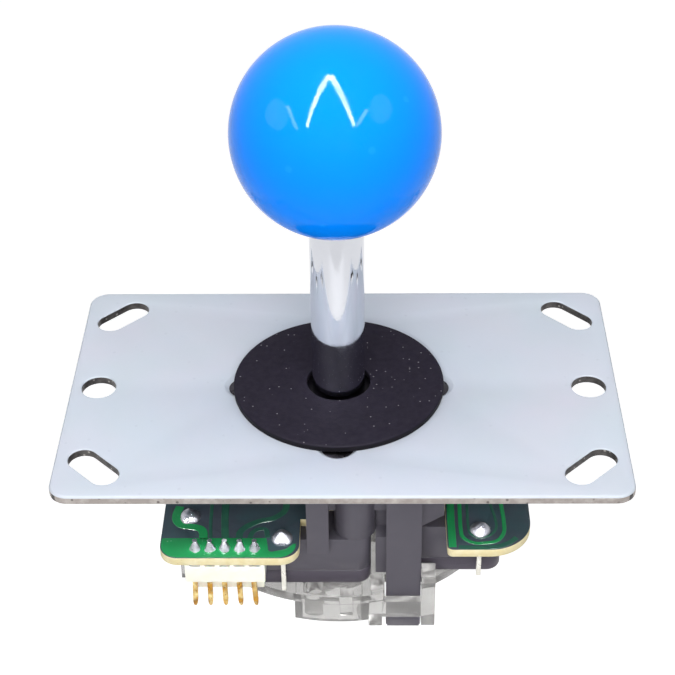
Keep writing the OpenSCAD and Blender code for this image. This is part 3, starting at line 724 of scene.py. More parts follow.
@dataclass(frozen=True)
class Finish:
    """A surface: its colour, its gloss, and the layers that vary them.

    Attributes:
        slot: The record's material slot that it belongs to.
        colour: Base colour.
        roughness: Middle value of the roughness.
        swing: How far the roughness wanders each way.
        tints: Layers that change the colour.
        relief: Layer that gives the bump, its share being its depth in millimetres.
        metallic: Share of metal.
        scatter: Weight of light scattered below the surface.
        clear: Share of light let through.
        ior: Index of refraction.
        part: A word that tells apart two finishes of one slot.
    """

    slot: str
    colour: Rgb
    roughness: float
    swing: float
    tints: tuple[Layer, ...]
    relief: Layer
    metallic: float = 0.0
    scatter: float = 0.0
    clear: float = 0.0
    ior: float = 1.5
    part: str = ""

    def layer(self, w: Wiring, place: NodeSocket, given: Layer) -> NodeSocket:
        """The value of one layer's effect at each point.

        Args:
            w: The material's wiring.
            place: The place on the piece.
            given: The layer.

        Returns:
            The value.
        """
        node = w.add("Group", node_tree=given.effect.group())
        w.tree.links.new(place, node.inputs["Vector"])
        node.inputs["Scale"].default_value = 1 / (given.size * MM)
        node.inputs["Amount"].default_value = given.amount
        return node.outputs[0]

    def material(self) -> bpy.types.Material:
        """The finish's material, made the first time that it is asked for.

        Returns:
            The material.
        """
        name = self.slot + self.part
        found = bpy.data.materials.get(name + "_finish")
        if found:
            return found
        made, w = new_material(name + "_finish")
        place = w.add("TexCoord").outputs["Object"]
        colour: object = linear(self.colour)
        for tint in self.tints:
            share = w.maths("MULTIPLY", self.layer(w, place, tint), tint.share)
            colour = w.blend(share, colour, linear(tint.colour))
        patches = self.layer(w, place, GLOSS_PATCHES)
        dull, glossy = self.roughness + self.swing, self.roughness - self.swing
        rough = w.remap(patches, 0.2, 0.8, glossy, dull)
        height, depth = self.layer(w, place, self.relief), self.relief.share * MM
        bump = w.add("Bump", {"Height": height, "Distance": depth, "Strength": 1.0})
        shader = w.add("BsdfPrincipled", {
            "Base Color": colour,
            "Roughness": rough,
            "Metallic": self.metallic,
            "Subsurface Weight": self.scatter,
            "Subsurface Scale": SCATTER_DEPTH,
            "Transmission Weight": self.clear,
            "IOR": self.ior,
            "Normal": bump.outputs[0],
        })
        w.add("OutputMaterial", {0: shader.outputs[0]})
        return made


GRAIN, CLOUDS, SPECKS = Effect.GRAIN, Effect.CLOUDS, Effect.SPECKS
STREAKS, DUST = Effect.STREAKS, Effect.DUST

PLATE_STEEL = Finish("plate_steel", (196, 204, 216), 0.5, 0.05, (
    Layer(CLOUDS, 26, 0.35, 0.45, (206, 201, 212)),
    Layer(CLOUDS, 17, 0.3, 0.35, (190, 204, 208)),
    Layer(SPECKS, 1.3, 0.05, 0.25, (176, 182, 194)),
), Layer(GRAIN, 0.5, 0.5, 0.006), ior=1.25)
PLATE_CUT = Finish("plate_steel", (160, 153, 148), 0.5, 0.1, (
    Layer(STREAKS, 0.5, 0.0, 0.5, (120, 112, 108)),
    Layer(CLOUDS, 1.6, 0.9, 0.35, (186, 180, 176)),
    Layer(SPECKS, 1.1, 0.25, 0.8, (66, 58, 56)),
), Layer(GRAIN, 0.25, 0.6, 0.03), metallic=0.4, part="_cut")
# The walls of the holes: the cut steel painted much darker, with darker patches, which is painted
# shade.
SHADED_HOLE_WALL = Finish("plate_steel", (76, 73, 72), 0.5, 0.1, (
    Layer(CLOUDS, 2.2, 0.9, 0.8, (40, 37, 38)),
    Layer(SPECKS, 0.9, 0.3, 0.7, (176, 172, 168)),
), Layer(GRAIN, 0.25, 0.6, 0.03), metallic=0.4, part="_hole")
DARK_SCREW = Finish("dark_screw", (52, 50, 56), 0.32, 0.08, (
    # Light specks on the dark metal: painted glints.
    Layer(SPECKS, 0.5, 0.2, 0.6, (130, 130, 138)),
    Layer(CLOUDS, 1.2, 0.6, 0.4, (34, 32, 38)),
), Layer(GRAIN, 0.3, 0.4, 0.004), metallic=0.9)
BLACK_ABS = Finish("black_abs", (83, 80, 89), 0.42, 0.06, (
    Layer(CLOUDS, 5, 0.3, 0.25, (73, 70, 79)),
    Layer(DUST, 2.0, 0.06, 1.0, (120, 118, 126)),
), Layer(GRAIN, 0.22, 0.5, 0.0015), ior=1.35)
BOARD_MASK = Finish("board_green", (68, 73, 84), 0.2, 0.05, (
    Layer(CLOUDS, 7, 0.5, 0.5, (54, 88, 92)),
    Layer(STREAKS, 0.35, 0.8, 0.12, (84, 104, 108)),
), Layer(GRAIN, 0.35, 0.3, 0.004), ior=1.3)
BOARD_EDGE = Finish("board_green", (226, 214, 168), 0.6, 0.1, (
    Layer(STREAKS, 0.3, 0.0, 0.45, (222, 202, 140)),
    Layer(CLOUDS, 2.2, 0.8, 0.4, (238, 230, 196)),
    Layer(SPECKS, 0.7, 0.2, 0.3, (186, 162, 104)),
), Layer(GRAIN, 0.16, 0.6, 0.02), part="_edge")
# Copper under the mask. The bright band along the board's front takes it too, which is painted
# light.
COPPER_AND_LIT_BAND = Finish("board_green", (38, 152, 86), 0.2, 0.05, (
    Layer(CLOUDS, 4, 0.5, 0.45, (34, 140, 80)),
    Layer(SPECKS, 0.6, 0.06, 0.4, (130, 200, 160)),
), Layer(GRAIN, 0.3, 0.3, 0.004), ior=1.4, part="_copper_and_lit_band")
TRACE_MASK = Finish("board_green", (48, 94, 80), 0.2, 0.05, (
    Layer(CLOUDS, 3, 0.6, 0.6, (52, 110, 84)),
), Layer(GRAIN, 0.3, 0.3, 0.004), ior=1.4, part="_trace")
SOLDER = Finish("solder", (196, 196, 204), 0.32, 0.1, (
    Layer(CLOUDS, 1.1, 0.9, 0.4, (160, 160, 170)),
    Layer(SPECKS, 0.5, 0.25, 0.6, (95, 92, 100)),
), Layer(GRAIN, 0.45, 0.5, 0.06), metallic=1.0)
IVORY = Finish("ivory_nylon", (253, 251, 238), 0.38, 0.06, (
    Layer(CLOUDS, 3, 0.4, 0.3, (250, 245, 220)),
), Layer(GRAIN, 0.2, 0.4, 0.006), scatter=0.15)
GOLD_PIN = Finish("gold_pin", (190, 140, 50), 0.3, 0.1, (
    Layer(CLOUDS, 0.7, 0.9, 0.85, (128, 82, 22)),
    Layer(CLOUDS, 1.4, 0.9, 0.5, (246, 226, 160)),
    Layer(SPECKS, 0.5, 0.35, 0.8, (92, 60, 20)),
), Layer(GRAIN, 0.35, 0.6, 0.05), metallic=0.75)
SWITCH_CASE = Finish("switch_case", (84, 81, 90), 0.38, 0.06, (
    Layer(CLOUDS, 6, 0.3, 0.25, (64, 61, 71)),
), Layer(GRAIN, 0.18, 0.5, 0.0015), ior=1.35)
SWITCH_COVER = Finish("switch_cover", (74, 69, 80), 0.4, 0.06, (
    Layer(CLOUDS, 5, 0.3, 0.25, (72, 66, 78)),
), Layer(GRAIN, 0.2, 0.5, 0.0015), ior=1.35)
TERMINAL_TIN = Finish("terminal_tin", (232, 230, 222), 0.3, 0.08, (
    Layer(CLOUDS, 1.8, 0.6, 0.4, (196, 192, 178)),
), Layer(STREAKS, 0.15, 0.0, 0.004), metallic=0.7)
PLUNGER_RED = Finish("plunger_red", (190, 52, 38), 0.35, 0.05, (
    Layer(CLOUDS, 1.2, 0.4, 0.3, (160, 38, 30)),
), Layer(GRAIN, 0.15, 0.4, 0.003))
BLADE_STEEL = Finish("blade_steel", (196, 198, 202), 0.28, 0.06, (
    Layer(CLOUDS, 2, 0.4, 0.3, (168, 170, 176)),
), Layer(STREAKS, 0.12, 0.0, 0.003), metallic=1.0)
CLEAR_GATE = Finish("clear_gate", (188, 187, 185), 0.1, 0.04, (
    Layer(CLOUDS, 5, 0.4, 0.5, (214, 213, 212)),
), Layer(GRAIN, 1.6, 0.3, 0.02), clear=0.8, ior=1.49)
WHITE_ACETAL = Finish("white_acetal", (236, 236, 232), 0.4, 0.05, (
    Layer(CLOUDS, 3, 0.4, 0.3, (222, 222, 216)),
), Layer(GRAIN, 0.2, 0.4, 0.004), scatter=0.1)
SPRING_WIRE = Finish("spring_wire", (176, 178, 184), 0.24, 0.06, (
    Layer(CLOUDS, 0.8, 0.5, 0.35, (140, 140, 148)),
), Layer(GRAIN, 0.12, 0.4, 0.002), metallic=1.0)
BUSH_BLACK = Finish("bush_black", (26, 24, 29), 0.4, 0.06, (
    Layer(CLOUDS, 2, 0.4, 0.3, (34, 32, 38)),
), Layer(GRAIN, 0.2, 0.4, 0.004), ior=1.35)
CHROME_SHAFT = Finish("chrome_shaft", (212, 214, 220), 0.07, 0.03, (
    Layer(CLOUDS, 4, 0.4, 0.2, (200, 202, 210)),
), Layer(GRAIN, 0.8, 0.4, 0.0025), metallic=1.0)
BALL_BLUE = Finish("ball_blue", (0, 136, 255), 0.05, 0.02, (
    Layer(CLOUDS, 9, 0.2, 0.2, (0, 131, 252)),
    Layer(SPECKS, 2.6, 0.02, 0.12, (60, 190, 255)),
), Layer(GRAIN, 3.0, 0.3, 0.003), ior=1.17)
BRASS_INSERT = Finish("brass_insert", (204, 166, 84), 0.3, 0.08, (
    Layer(CLOUDS, 1.5, 0.5, 0.4, (168, 130, 60)),
), Layer(STREAKS, 0.15, 0.6, 0.004), metallic=1.0)
WASHER_BLACK = Finish("washer_black", (36, 32, 44), 0.5, 0.06, (
    Layer(CLOUDS, 4, 0.4, 0.35, (29, 26, 36)),
    # Light specks on the black: painted glints.
    Layer(SPECKS, 0.55, 0.05, 0.7, (150, 146, 152)),
    Layer(DUST, 1.2, 0.04, 1.0, (120, 118, 126)),
), Layer(GRAIN, 0.3, 0.8, 0.03), ior=1.1)
# The washer's side: its black painted darker than the top, which is painted shade.
SHADED_WASHER_SIDE = Finish("washer_black", (18, 16, 22), 0.55, 0.06, (
    Layer(CLOUDS, 3, 0.4, 0.3, (24, 22, 28)),
), Layer(GRAIN, 0.28, 0.6, 0.01), ior=1.2, part="_side")


# ---- Sub-assemblies ----


class Side(Enum):
    """The lever's four sides, in quarter turns from the front."""

    FRONT = "front"
    RIGHT = "right"
    REAR = "rear"
    LEFT = "left"


# A face is steep where the upward part of its normal is less than this.
STEEP = 0.35


class Assembly:
    """What every sub-assembly does with a piece once it has its shape."""

    def fit(self, piece: PieceObject, body: str, finish: Finish, *nodes: str) -> None:
        """Dresses a piece, puts it on its body and lets it stand for CAD nodes.

        Args:
            piece: The piece, at the origin.
            body: The CAD body that it moves with.
            finish: Its finish, for a piece that has none yet.
            nodes: The CAD nodes that it stands for.
        """
        if not piece.data.materials:
            piece.data.materials.append(finish.material())
        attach(piece, body)
        if nodes:
            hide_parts(*nodes)
        LOG.info("%s on %s, %s", piece.name, body, finish.slot)

    def soften(self, node: str, name: str, width: float, body: str, finish: Finish) -> None:
        """Fits a rounded copy of a CAD node in its place."""
        self.fit(softened(node, name, width), body, finish, node)

    def dress_node(self, node: str, finish: Finish) -> None:
        """Gives a CAD node that stays its finish."""
        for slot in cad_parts[node].material_slots:
            slot.material = finish.material()
        LOG.info("%s keeps its CAD shape, %s", node, finish.slot)

    def by_slope(self, piece: PieceObject, level: Finish, steep: Finish) -> None:
        """Gives faces that look up or down one finish, and steep faces another.

        Args:
            piece: The piece.
            level: Finish of the faces that look up or down.
            steep: Finish of the steep ones.
        """
        for finish in (level, steep):
            piece.data.materials.append(finish.material())
        faces = piece.data.polygons
        is_steep = np.abs(mesh_values(faces, "normal")[:, 2]) < STEEP
        faces.foreach_set("material_index", is_steep.astype(np.int32))


@dataclass
class Plate(Assembly):
    """The punched steel plate and the screws that hold the base under it."""

    corner_r: float = 3.5
    roll_r: float = 0.55
    burr_r: float = 0.12
    hole_roll_r: float = 0.3
    round_hole_pitch: float = 88.8
    round_hole_r: float = 3.1
    slot_pitch: Point = (85.0, 44.7)
    slot_length: float = 11.0
    slot_width: float = 5.2
    opening_r: float = 10.0
    screw_radius: float = 17.0
    countersink_r: float = 3.7
    countersink_lip: Point = (0.15, 0.06)
    screw_hole_r: float = 1.75
    axis: Array = field(default_factory=lambda: LEVER_AXIS)

    def obround(self, x: float, y: float, angle: float) -> Array:
        """A slot's outline: a rectangle with round ends, turned about its centre.

        Args:
            x: Its centre along X.
            y: Its centre along Y.
            angle: Its turn from X.

        Returns:
            The outline's points.
        """
        reach, half = self.slot_length / 2, self.slot_width / 2
        flat = rounded(rectangle((-reach, -half), (reach, half)), half - 1e-4, 14)
        return flat @ turn_z(angle)[:2, :2].T + [x, y]

    def sheet(self) -> PieceObject:
        """The plate: rolled over where the punch went in, sharp where it came out.

        Returns:
            The piece.
        """
        low, high = node_box("mounting_plate")
        top, bottom = high[2], low[2]
        rim = soft_wall(top, bottom, self.roll_r, self.burr_r)
        bore = soft_wall(top, bottom, self.hole_roll_r, self.burr_r)
        sink, (lip, drop) = self.countersink_r - self.screw_hole_r, self.countersink_lip
        cone = np.array([[sink + lip, top], [sink, top - drop], [0, bottom]])
        edges = [Edge(rounded(rectangle(low, high), self.corner_r, 12), rim)]
        for s in (-1, 1):
            spot = circle(s * self.round_hole_pitch / 2, 0, self.round_hole_r, 56)
            edges.append(Edge(spot, bore, True))
            for t in (-1, 1):
                x, y = s * self.slot_pitch[0] / 2, t * self.slot_pitch[1] / 2
                edges.append(Edge(self.obround(x, y, -s * t * math.pi / 4), bore, True))
        edges.append(Edge(circle(*self.axis, self.opening_r, 96), bore, True))
        for k in range(4):
            angle = k * math.pi / 2
            x = self.axis[0] + self.screw_radius * math.sin(angle)
            y = self.axis[1] - self.screw_radius * math.cos(angle)
            edges.append(Edge(circle(x, y, self.screw_hole_r, 48), cone, True))
        return piece_from("plate", *slab(edges), sharp=50)

    def paint_hole_shade(self, sheet: PieceObject) -> None:
        """Gives the walls of the holes, all cut faces inside the rim, a darker finish. It is
        painted shade, as in holes that lie in shadow.

        Args:
            sheet: The plate, dressed by slope.
        """
        low, high = node_box("mounting_plate")
        faces, rim = sheet.data.polygons, 1.5 * self.roll_r
        slots = np.zeros(len(faces), np.int32)
        faces.foreach_get("material_index", slots)
        place = mesh_values(faces, "center")[:, :2] / MM
        inside = np.all((place > low[:2] + rim) & (place < high[:2] - rim), axis=1)
        sheet.data.materials.append(SHADED_HOLE_WALL.material())
        faces.foreach_set("material_index", np.where(inside & (slots == 1), 2, slots))

    def build(self) -> None:
        """Makes the plate and rounds the screws."""
        sheet = self.sheet()
        self.by_slope(sheet, PLATE_STEEL, PLATE_CUT)
        # Painted shade on the walls of the holes.
        self.paint_hole_shade(sheet)
        self.fit(sheet, "frame", PLATE_STEEL, "mounting_plate")
        self.soften("plate_screws", "screws", 0.12, "frame", DARK_SCREW)


@dataclass
class Lever(Assembly):
    """Everything that turns with the shaft, the dust washer and the pivot bush.

    Attributes:
        insert_gap: Clearance of the ball's bore round the insert.
        shoulder_r: Radius of the upper shaft's two edges.
        shank_r: Radius of the stud and of the shaft below the bush.
        groove_r: Radius at the bottom of the clip's groove.
        stud_chamfer: Chamfer at the stud's top.
        washer_edge_r: Radius of the washer's upper rim.
        washer_flat: Width of the flat ring inside that rim.
        washer_dish: How far the washer's top sinks from there to its hole.
        bush_r: Radius of the ball that the bush is a zone of.
        bush_middle: Height of its centre above the bush's foot, in parts of that radius.
        bush_bore_r: Radius of the bush's bore.
        hub_r: Radius of the actuator's hub.
        hub_bore_r: Radius of its bore.
        cup_wall: Thickness of the cup's wall, and width of the flange outside it.
        cup_floor: How far the cup's floor lies below the flange's middle.
        cup_base: How far its underside does.
        flange_half: Half the flange's height.
        wire: Thickness of the spring's wire.
        axis: Where the lever's axis is.
    """

    insert_gap: float = 0.02
    shoulder_r: float = 0.35
    shank_r: float = 3.0
    groove_r: float = 2.4
    stud_chamfer: float = 0.8
    washer_edge_r: float = 0.35
    washer_flat: float = 1.2
    washer_dish: float = 0.12
    bush_r: float = 8.0
    bush_middle: float = 0.75
    bush_bore_r: float = 3.05
    hub_r: float = 6.0
    hub_bore_r: float = 3.02
    cup_wall: float = 0.6
    cup_floor: float = 2.8
    cup_base: float = 4.4
    flange_half: float = 1.0
    wire: float = 0.9
    axis: Array = field(default_factory=lambda: LEVER_AXIS)

    def ball(self) -> PieceObject:
        """The ball: a circle's arc from the pole to its flat, and in along the flat to the bore.

        Returns:
            The piece.
        """
        low, high = node_box("ball_top")
        radius = (high[0] - low[0]) / 2
        middle = high[2] - radius
        insert_low, insert_high = node_box("ball_insert")
        bore = (insert_high[0] - insert_low[0]) / 2 + self.insert_gap
        bore_top = insert_high[2] + GAP
        arc = ball_arc(radius, middle, np.pi / 2, math.asin((low[2] - middle) / radius), 90)
        arc[0, 0] = 0
        inner = [(bore, low[2]), (bore, bore_top), (0, bore_top)]
        return lathe("ball", np.concatenate([arc, inner]), self.axis, count=160)

    def shaft(self) -> PieceObject:
        """The shaft: stud, upper shaft with rounded shoulders, shank and clip groove.

        Returns:
            The piece.
        """
        low, high = node_box("shaft")
        top, bottom, flat = high[2], low[2], node_box("ball_top")[0][2]
        shoulder = node_box("pivot_bush")[1][2] + GAP
        groove_top, groove_low = node_box("e_clip")[1][2] + GAP, node_box("e_clip")[0][2] - GAP
        upper, shank, s = (high[0] - low[0]) / 2, self.shank_r, self.shoulder_r
        outline = profile([
            (-1, top, 0), (0, top, 0), (shank - self.stud_chamfer, top, 0.2),
            (shank, top - self.stud_chamfer, 0.2), (shank, flat, 0), (upper, flat, s),
            (upper, shoulder, s), (shank, shoulder, 0), (shank, groove_top, 0.1),
            (self.groove_r, groove_top, 0), (self.groove_r, groove_low, 0),
            (shank, groove_low, 0.1), (shank, bottom, 0.4), (0, bottom, 0), (-1, bottom, 0),
        ])
        return lathe("lever_shaft", outline[outline[:, 0] >= 0], self.axis)

    def washer(self) -> PieceObject:
        """The dust washer: a flat ring with a rounded rim, its top sinking a little inwards.

        Returns:
            The piece.
        """
        low, high = node_box("dust_washer")
        outer, hole = (high[0] - low[0]) / 2, self.washer_hole()
        outline = profile([
            (hole, low[2], 0.15), (outer, low[2], 0.1), (outer, high[2], self.washer_edge_r),
            (outer - self.washer_flat, high[2], 0.5), (hole, high[2] - self.washer_dish, 0.2),
        ], 5)
        washer = lathe("washer", outline, self.axis, ring=True, count=160)
        # The steep side takes the darker copy of the finish, which is painted shade.
        self.by_slope(washer, WASHER_BLACK, SHADED_WASHER_SIDE)
        return washer

    def washer_hole(self) -> float:
        """Radius of the washer's hole: its innermost vertex from the axis."""
        place = mesh_values(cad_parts["dust_washer"].data.vertices, "co")[:, :2] / MM
        return float(np.linalg.norm(place - self.axis, axis=1).min())

    def bush(self) -> PieceObject:
        """The pivot bush: a ball's zone with a bore.

        Returns:
            The piece.
        """
        low, high = node_box("pivot_bush")
        middle = low[2] + self.bush_middle * self.bush_r
        start, end = (math.asin((z - middle) / self.bush_r) for z in (high[2], low[2]))
        arc = ball_arc(self.bush_r, middle, start, end, 48)
        inner = [(self.bush_bore_r, low[2]), (self.bush_bore_r, high[2])]
        return lathe("bush", np.concatenate([arc, inner]), self.axis, ring=True)

    def actuator(self) -> PieceObject:
        """The actuator: hub, cup and flange, its corners rounded.

        Returns:
            The piece.
        """
        low, high = node_box("actuator")
        flange = (high[0] - low[0]) / 2
        blade_low, blade_high = node_box("switch_blade_front")
        mid = (blade_low[2] + blade_high[2]) / 2
        cup, bore, hub = flange - self.cup_wall, self.hub_bore_r, self.hub_r
        inside, floor, base = cup - self.cup_wall, mid - self.cup_floor, mid - self.cup_base
        under, over = mid - self.flange_half, mid + self.flange_half
        outline = profile([
            (bore, low[2], 0.2), (hub, low[2], 0.4), (hub, base, 0.4), (cup, base, 0.4),
            (cup, under, 0.2), (flange, under, 0.4), (flange, over, 0.4), (cup, over, 0.2),
            (cup, high[2], 0.15), (inside, high[2], 0.15), (inside, floor, 0.4),
            (bore, floor, 0.2),
        ], 4)
        return lathe("actuator_cup", outline, self.axis, ring=True)

    def spring(self) -> PieceObject:
        """The spring: a round wire carried along a helix whose end turns lie flat.

        The height climbs evenly between the end turns, and by half a wire along each of them.

        Returns:
            The piece.
        """
        low, high = node_box("centring_spring")
        wire, turns, end_turns = self.wire, 4.0, 0.75
        coil_r = (high[0] - low[0]) / 2 - wire / 2
        t = np.linspace(0, turns + 2 * end_turns, 260)
        climb = np.clip((t - end_turns) / (turns - 0.5), 0, 1)
        first = np.clip(t / end_turns, 0, 1)
        last = np.clip((t - end_turns - turns + 0.5) / (end_turns + 0.5), 0, 1)
        span = high[2] - low[2] - wire
        height = low[2] + wire / 2 + 0.55 * wire * (first + last) + climb * (span - 1.1 * wire)
        angle = 2 * np.pi * t
        x, y = self.axis[0] + coil_r * np.cos(angle), self.axis[1] + coil_r * np.sin(angle)
        path = np.stack([x, y, height], -1)
        return piece_from("spring", *swept(circle(0, 0, wire / 2, 12), path))

    def build(self) -> None:
        """Makes the moving pieces, from the ball down."""
        self.fit(self.ball(), "lever", BALL_BLUE, "ball_top")
        self.fit(self.shaft(), "lever", CHROME_SHAFT, "shaft")
        self.dress_node("ball_insert", BRASS_INSERT)
        self.fit(self.washer(), "dust_washer", WASHER_BLACK, "dust_washer")
        self.fit(self.bush(), "pivot_bush", BUSH_BLACK, "pivot_bush")
        self.fit(self.actuator(), "lever", WHITE_ACETAL, "actuator")
        self.soften("e_clip", "clip", 0.08, "lever", DARK_SCREW)
        self.fit(self.spring(), "centring_spring", SPRING_WIRE, "centring_spring")
        self.soften("spring_collar", "collar", 0.12, "frame", WHITE_ACETAL)


@dataclass
class Board(Assembly):
    """The circuit board with its copper, its solder and the connector.

    Attributes:
        copper_t: Height of the copper above the board.
        pin_fan: How far the outer pins spread sideways at their tips.
        pin_jog: How far every pin steps to the left inside the housing.
        pins_reach: Distance from the middle pin to an outer one.
        jog_depth: How far below the board's top the step begins.
        fan_depth: How far below the housing's top it ends and the spread begins.
        large_joint_r: A joint of a larger radius than this is a switch's dome.
        lit_front_band: Corners of the bright band along the front, painted light where light
            falls on the board past the plate's shadow.
        lit_front_band_r: Their radii.
        bright: Width and corners of each bright trace.
        dim: Width and corners of each trace that shows only faintly.
    """

    copper_t: float = 0.05
    pin_fan: float = 0.28
    pin_jog: float = 0.42
    pins_reach: float = 5.1
    jog_depth: float = 2.2
    fan_depth: float = 3.9
    large_joint_r: float = 1.4
    lit_front_band: tuple[Point, ...] = (
        (-31.0, -27.95), (-31.0, -32.75), (-7.9, -32.75), (-7.9, -28.9),
        (-9.6, -30.7), (-12.5, -31.5), (-13.0, -27.95),
    )
    lit_front_band_r: tuple[float, ...] = (0.4, 3.1, 3.1, 0.3, 2.0, 0.6, 0.3)
    bright: tuple[Trace, ...] = (
        (1.5, ((-28.6, -19.8), (-29.0, -21.6), (-28.9, -23.3), (-27.9, -24.6), (-26.2, -25.0),
               (-24.6, -25.5), (-24.0, -26.6), (-23.9, -28.2))),
        (1.3, ((18.9, -19.0), (18.85, -24.0), (18.9, -30.2))),
        (0.7, ((27.8, -19.0), (28.0, -23.4), (27.8, -26.6), (26.5, -28.6), (24.4, -29.15),
               (22.5, -29.1), (20.9, -27.9), (20.45, -25.9), (20.5, -19.0))),
    )
    dim: tuple[Trace, ...] = (
        (1.3, ((-20.6, -19.0), (-20.5, -23.0), (-20.1, -28.0))),
        (1.2, ((-17.7, -28.0), (-17.6, -26.4), (-16.5, -24.9), (-14.4, -23.6), (-12.0, -22.8),
               (-10.2, -21.0), (-9.8, -18.5))),
        (0.9, ((-15.9, -28.0), (-15.5, -26.5), (-14.5, -25.7), (-13.2, -25.8), (-12.8, -27.8))),
        (0.6, ((-23.0, -19.0), (-22.9, -24.0), (-22.6, -28.0))),
        (0.5, ((25.9, -19.0), (26.6, -23.3), (26.5, -25.6), (25.4, -27.2), (23.7, -27.85),
               (22.4, -27.2), (21.8, -25.4), (21.8, -19.0))),
        (1.0, ((19.9, -30.2), (23.0, -30.3), (26.0, -30.15), (28.4, -29.2), (29.9, -27.8))),
    )

    def lit_band(self) -> Solid:
        """The bright band along the front, in the copper's finish: painted light where light falls
        past the plate's shadow.

        Returns:
            The points and the faces.
        """
        top = node_box("circuit_board")[1][2]
        outline = rounded(self.lit_front_band, self.lit_front_band_r, 8)
        wall = soft_wall(top + self.copper_t, top, self.copper_t * 0.6, 0, 2)
        return slab([Edge(outline, wall)])

    def strips(self, traces: Sequence[Trace]) -> list[Solid]:
        """Copper strips, each a low trapezium carried along a smooth path.

        Args:
            traces: The width and the corners of each strip.

        Returns:
            The points and faces of each strip.
        """
        top = node_box("circuit_board")[1][2]
        solids = []
        for width, corners in traces:
            flat = smooth_path(corners)
            path = np.concatenate([flat, np.full((len(flat), 1), top)], 1)
            half, t = width / 2, self.copper_t
            section = np.array([(-half, 0), (half, 0), (half - t, t), (t - half, t)])
            solids.append(swept(section, path))
        return solids

    def joint(self, low: Array, high: Array, order: int) -> Solid:
        """One solder joint, a little out of round and leaning.

        With t the share of the height, a large joint's radius falls as (1 - t^1.5)^0.75, which is
        a dome. A pin's falls as 0.62 (1 - t)^1.35 + 0.38 (1 - t^4)^0.5, a hollow cone with a
        blunt tip, and reaches the pin's top. Two waves round the axis, of 5 and 3 hundredths,
        make it uneven.

        Args:
            low: Lowest corner of the CAD solid.
            high: Its highest corner.
            order: Its number, which turns the waves and the lean.

        Returns:
            The points and the faces.
        """
        radius, height = (high[0] - low[0]) / 2, high[2] - low[2]
        rows, columns = 18, 36
        t = np.linspace(0, 1, rows)[:, None]
        angle = np.linspace(0, 2 * np.pi, columns, endpoint=False)[None]
        if radius > self.large_joint_r:
            fall = (1 - t**1.5) ** 0.75
        else:
            height = node_box("header_pins")[1][2] - low[2]
            fall = (1 - t) ** 1.35 * 0.62 + 0.38 * np.sqrt(1 - t**4)
        wave = 1 + 0.05 * np.sin(3 * angle + order * 1.7) + 0.03 * np.sin(5 * angle - order)
        r = radius * 0.97 * fall * (1 + (wave - 1) * (1 - 0.6 * t))
        lean = 0.12 * radius * t**2
        x = (low[0] + high[0]) / 2 + r * np.cos(angle) + lean * math.cos(order * 2.1)
        y = (low[1] + high[1]) / 2 + r * np.sin(angle) + lean * math.sin(order * 2.1)
        z = low[2] + height * t + 0 * angle
        points = np.stack([x, y, z], -1).reshape(-1, 3)
        return points, [grid_faces(rows, columns, False, True), np.arange(columns)[None]]

    def pins(self) -> PieceObject:
        """The connector's pins: a square section with worn corners, jogged sideways inside the
        housing, fanned out a little below it and carried down to a blunt point.

        Returns:
            The piece.
        """
        boxes = islands("header_pins")
        middle = (boxes[0][0][0] + boxes[-1][1][0]) / 2
        base = node_box("header_housing")[1][2] - self.fan_depth
        board = node_box("circuit_board")[1][2]
        bend = board - self.jog_depth
        solids = []
        for low, high in boxes:
            half = (high[0] - low[0]) / 2
            section = rounded(rectangle((-half, -half), (half, half)), half * 0.28, 3)
            x, y = (low[0] + high[0]) / 2, (low[1] + high[1]) / 2
            z, scale = np.array([
                (high[2] - 0.4, 0.3), (high[2] - 0.5, 0.4), (board, 0.45), (board - 0.3, 1),
                (base, 1), (base - 2.5, 1), (low[2] + 1.2, 0.98), (low[2] + 0.5, 0.8),
                (low[2], 0.45),
            ]).T
            below = np.clip((base - z) / (base - low[2]), 0, 1)
            lean = (x - middle) / self.pins_reach * self.pin_fan * below**2
            lean -= self.pin_jog * np.clip((bend - z) / (bend - base), 0, 1)
            path = np.stack([x + lean, y + 0 * z, z], -1)
            solids.append(swept(section, path, scale))
        return joined("pins", solids)

    def build(self) -> None:
        """Makes the board, its copper, solder, housing and pins."""
        board = softened("circuit_board", "board", 0.1)
        self.by_slope(board, BOARD_MASK, BOARD_EDGE)
        self.fit(board, "frame", BOARD_MASK, "circuit_board")
        # The band along the front is painted light, where light falls past the plate's shadow; the
        # strips are copper.
        copper = joined("copper", [self.lit_band(), *self.strips(self.bright)])
        self.fit(copper, "frame", COPPER_AND_LIT_BAND)
        self.fit(joined("traces", self.strips(self.dim)), "frame", TRACE_MASK)
        boxes = enumerate(islands("solder_joints"))
        solder = [self.joint(low, high, order) for order, (low, high) in boxes]
        self.fit(joined("solder", solder, 60), "frame", SOLDER, "solder_joints")
        self.soften("header_housing", "connector", 0.18, "frame", IVORY)
        self.fit(self.pins(), "frame", GOLD_PIN, "header_pins")


@dataclass
class Switch(Assembly):
    """One microswitch: case, cover, terminals, blade and plunger."""

    side: Side
    case_round: float = 0.3
    metal_round: float = 0.08
    plunger_round: float = 0.15

    def build(self) -> None:
        """Rounds each part and puts it on its body."""
        side = self.side.value
        for kind, width, body, finish in (
            ("case", self.case_round, "frame", SWITCH_CASE),
            ("cover", self.case_round, "frame", SWITCH_COVER),
            ("terminals", self.metal_round, "frame", TERMINAL_TIN),
            ("blade", self.metal_round, f"blade_{side}", BLADE_STEEL),
            ("plunger", self.plunger_round, f"plunger_{side}", PLUNGER_RED),
        ):
            self.soften(f"switch_{kind}_{side}", f"{kind}_{side}", width, body, finish)


@dataclass
class Base(Assembly):
    """The black base and the clear gate that snaps under it."""

    base_round: float = 0.25
    gate_round: float = 0.4

    def build(self) -> None:
        """Rounds both mouldings."""
        self.soften("base_body", "base", self.base_round, "frame", BLACK_ABS)
        self.soften("restrictor_gate", "gate", self.gate_round, "frame", CLEAR_GATE)


# ---- Studio ----


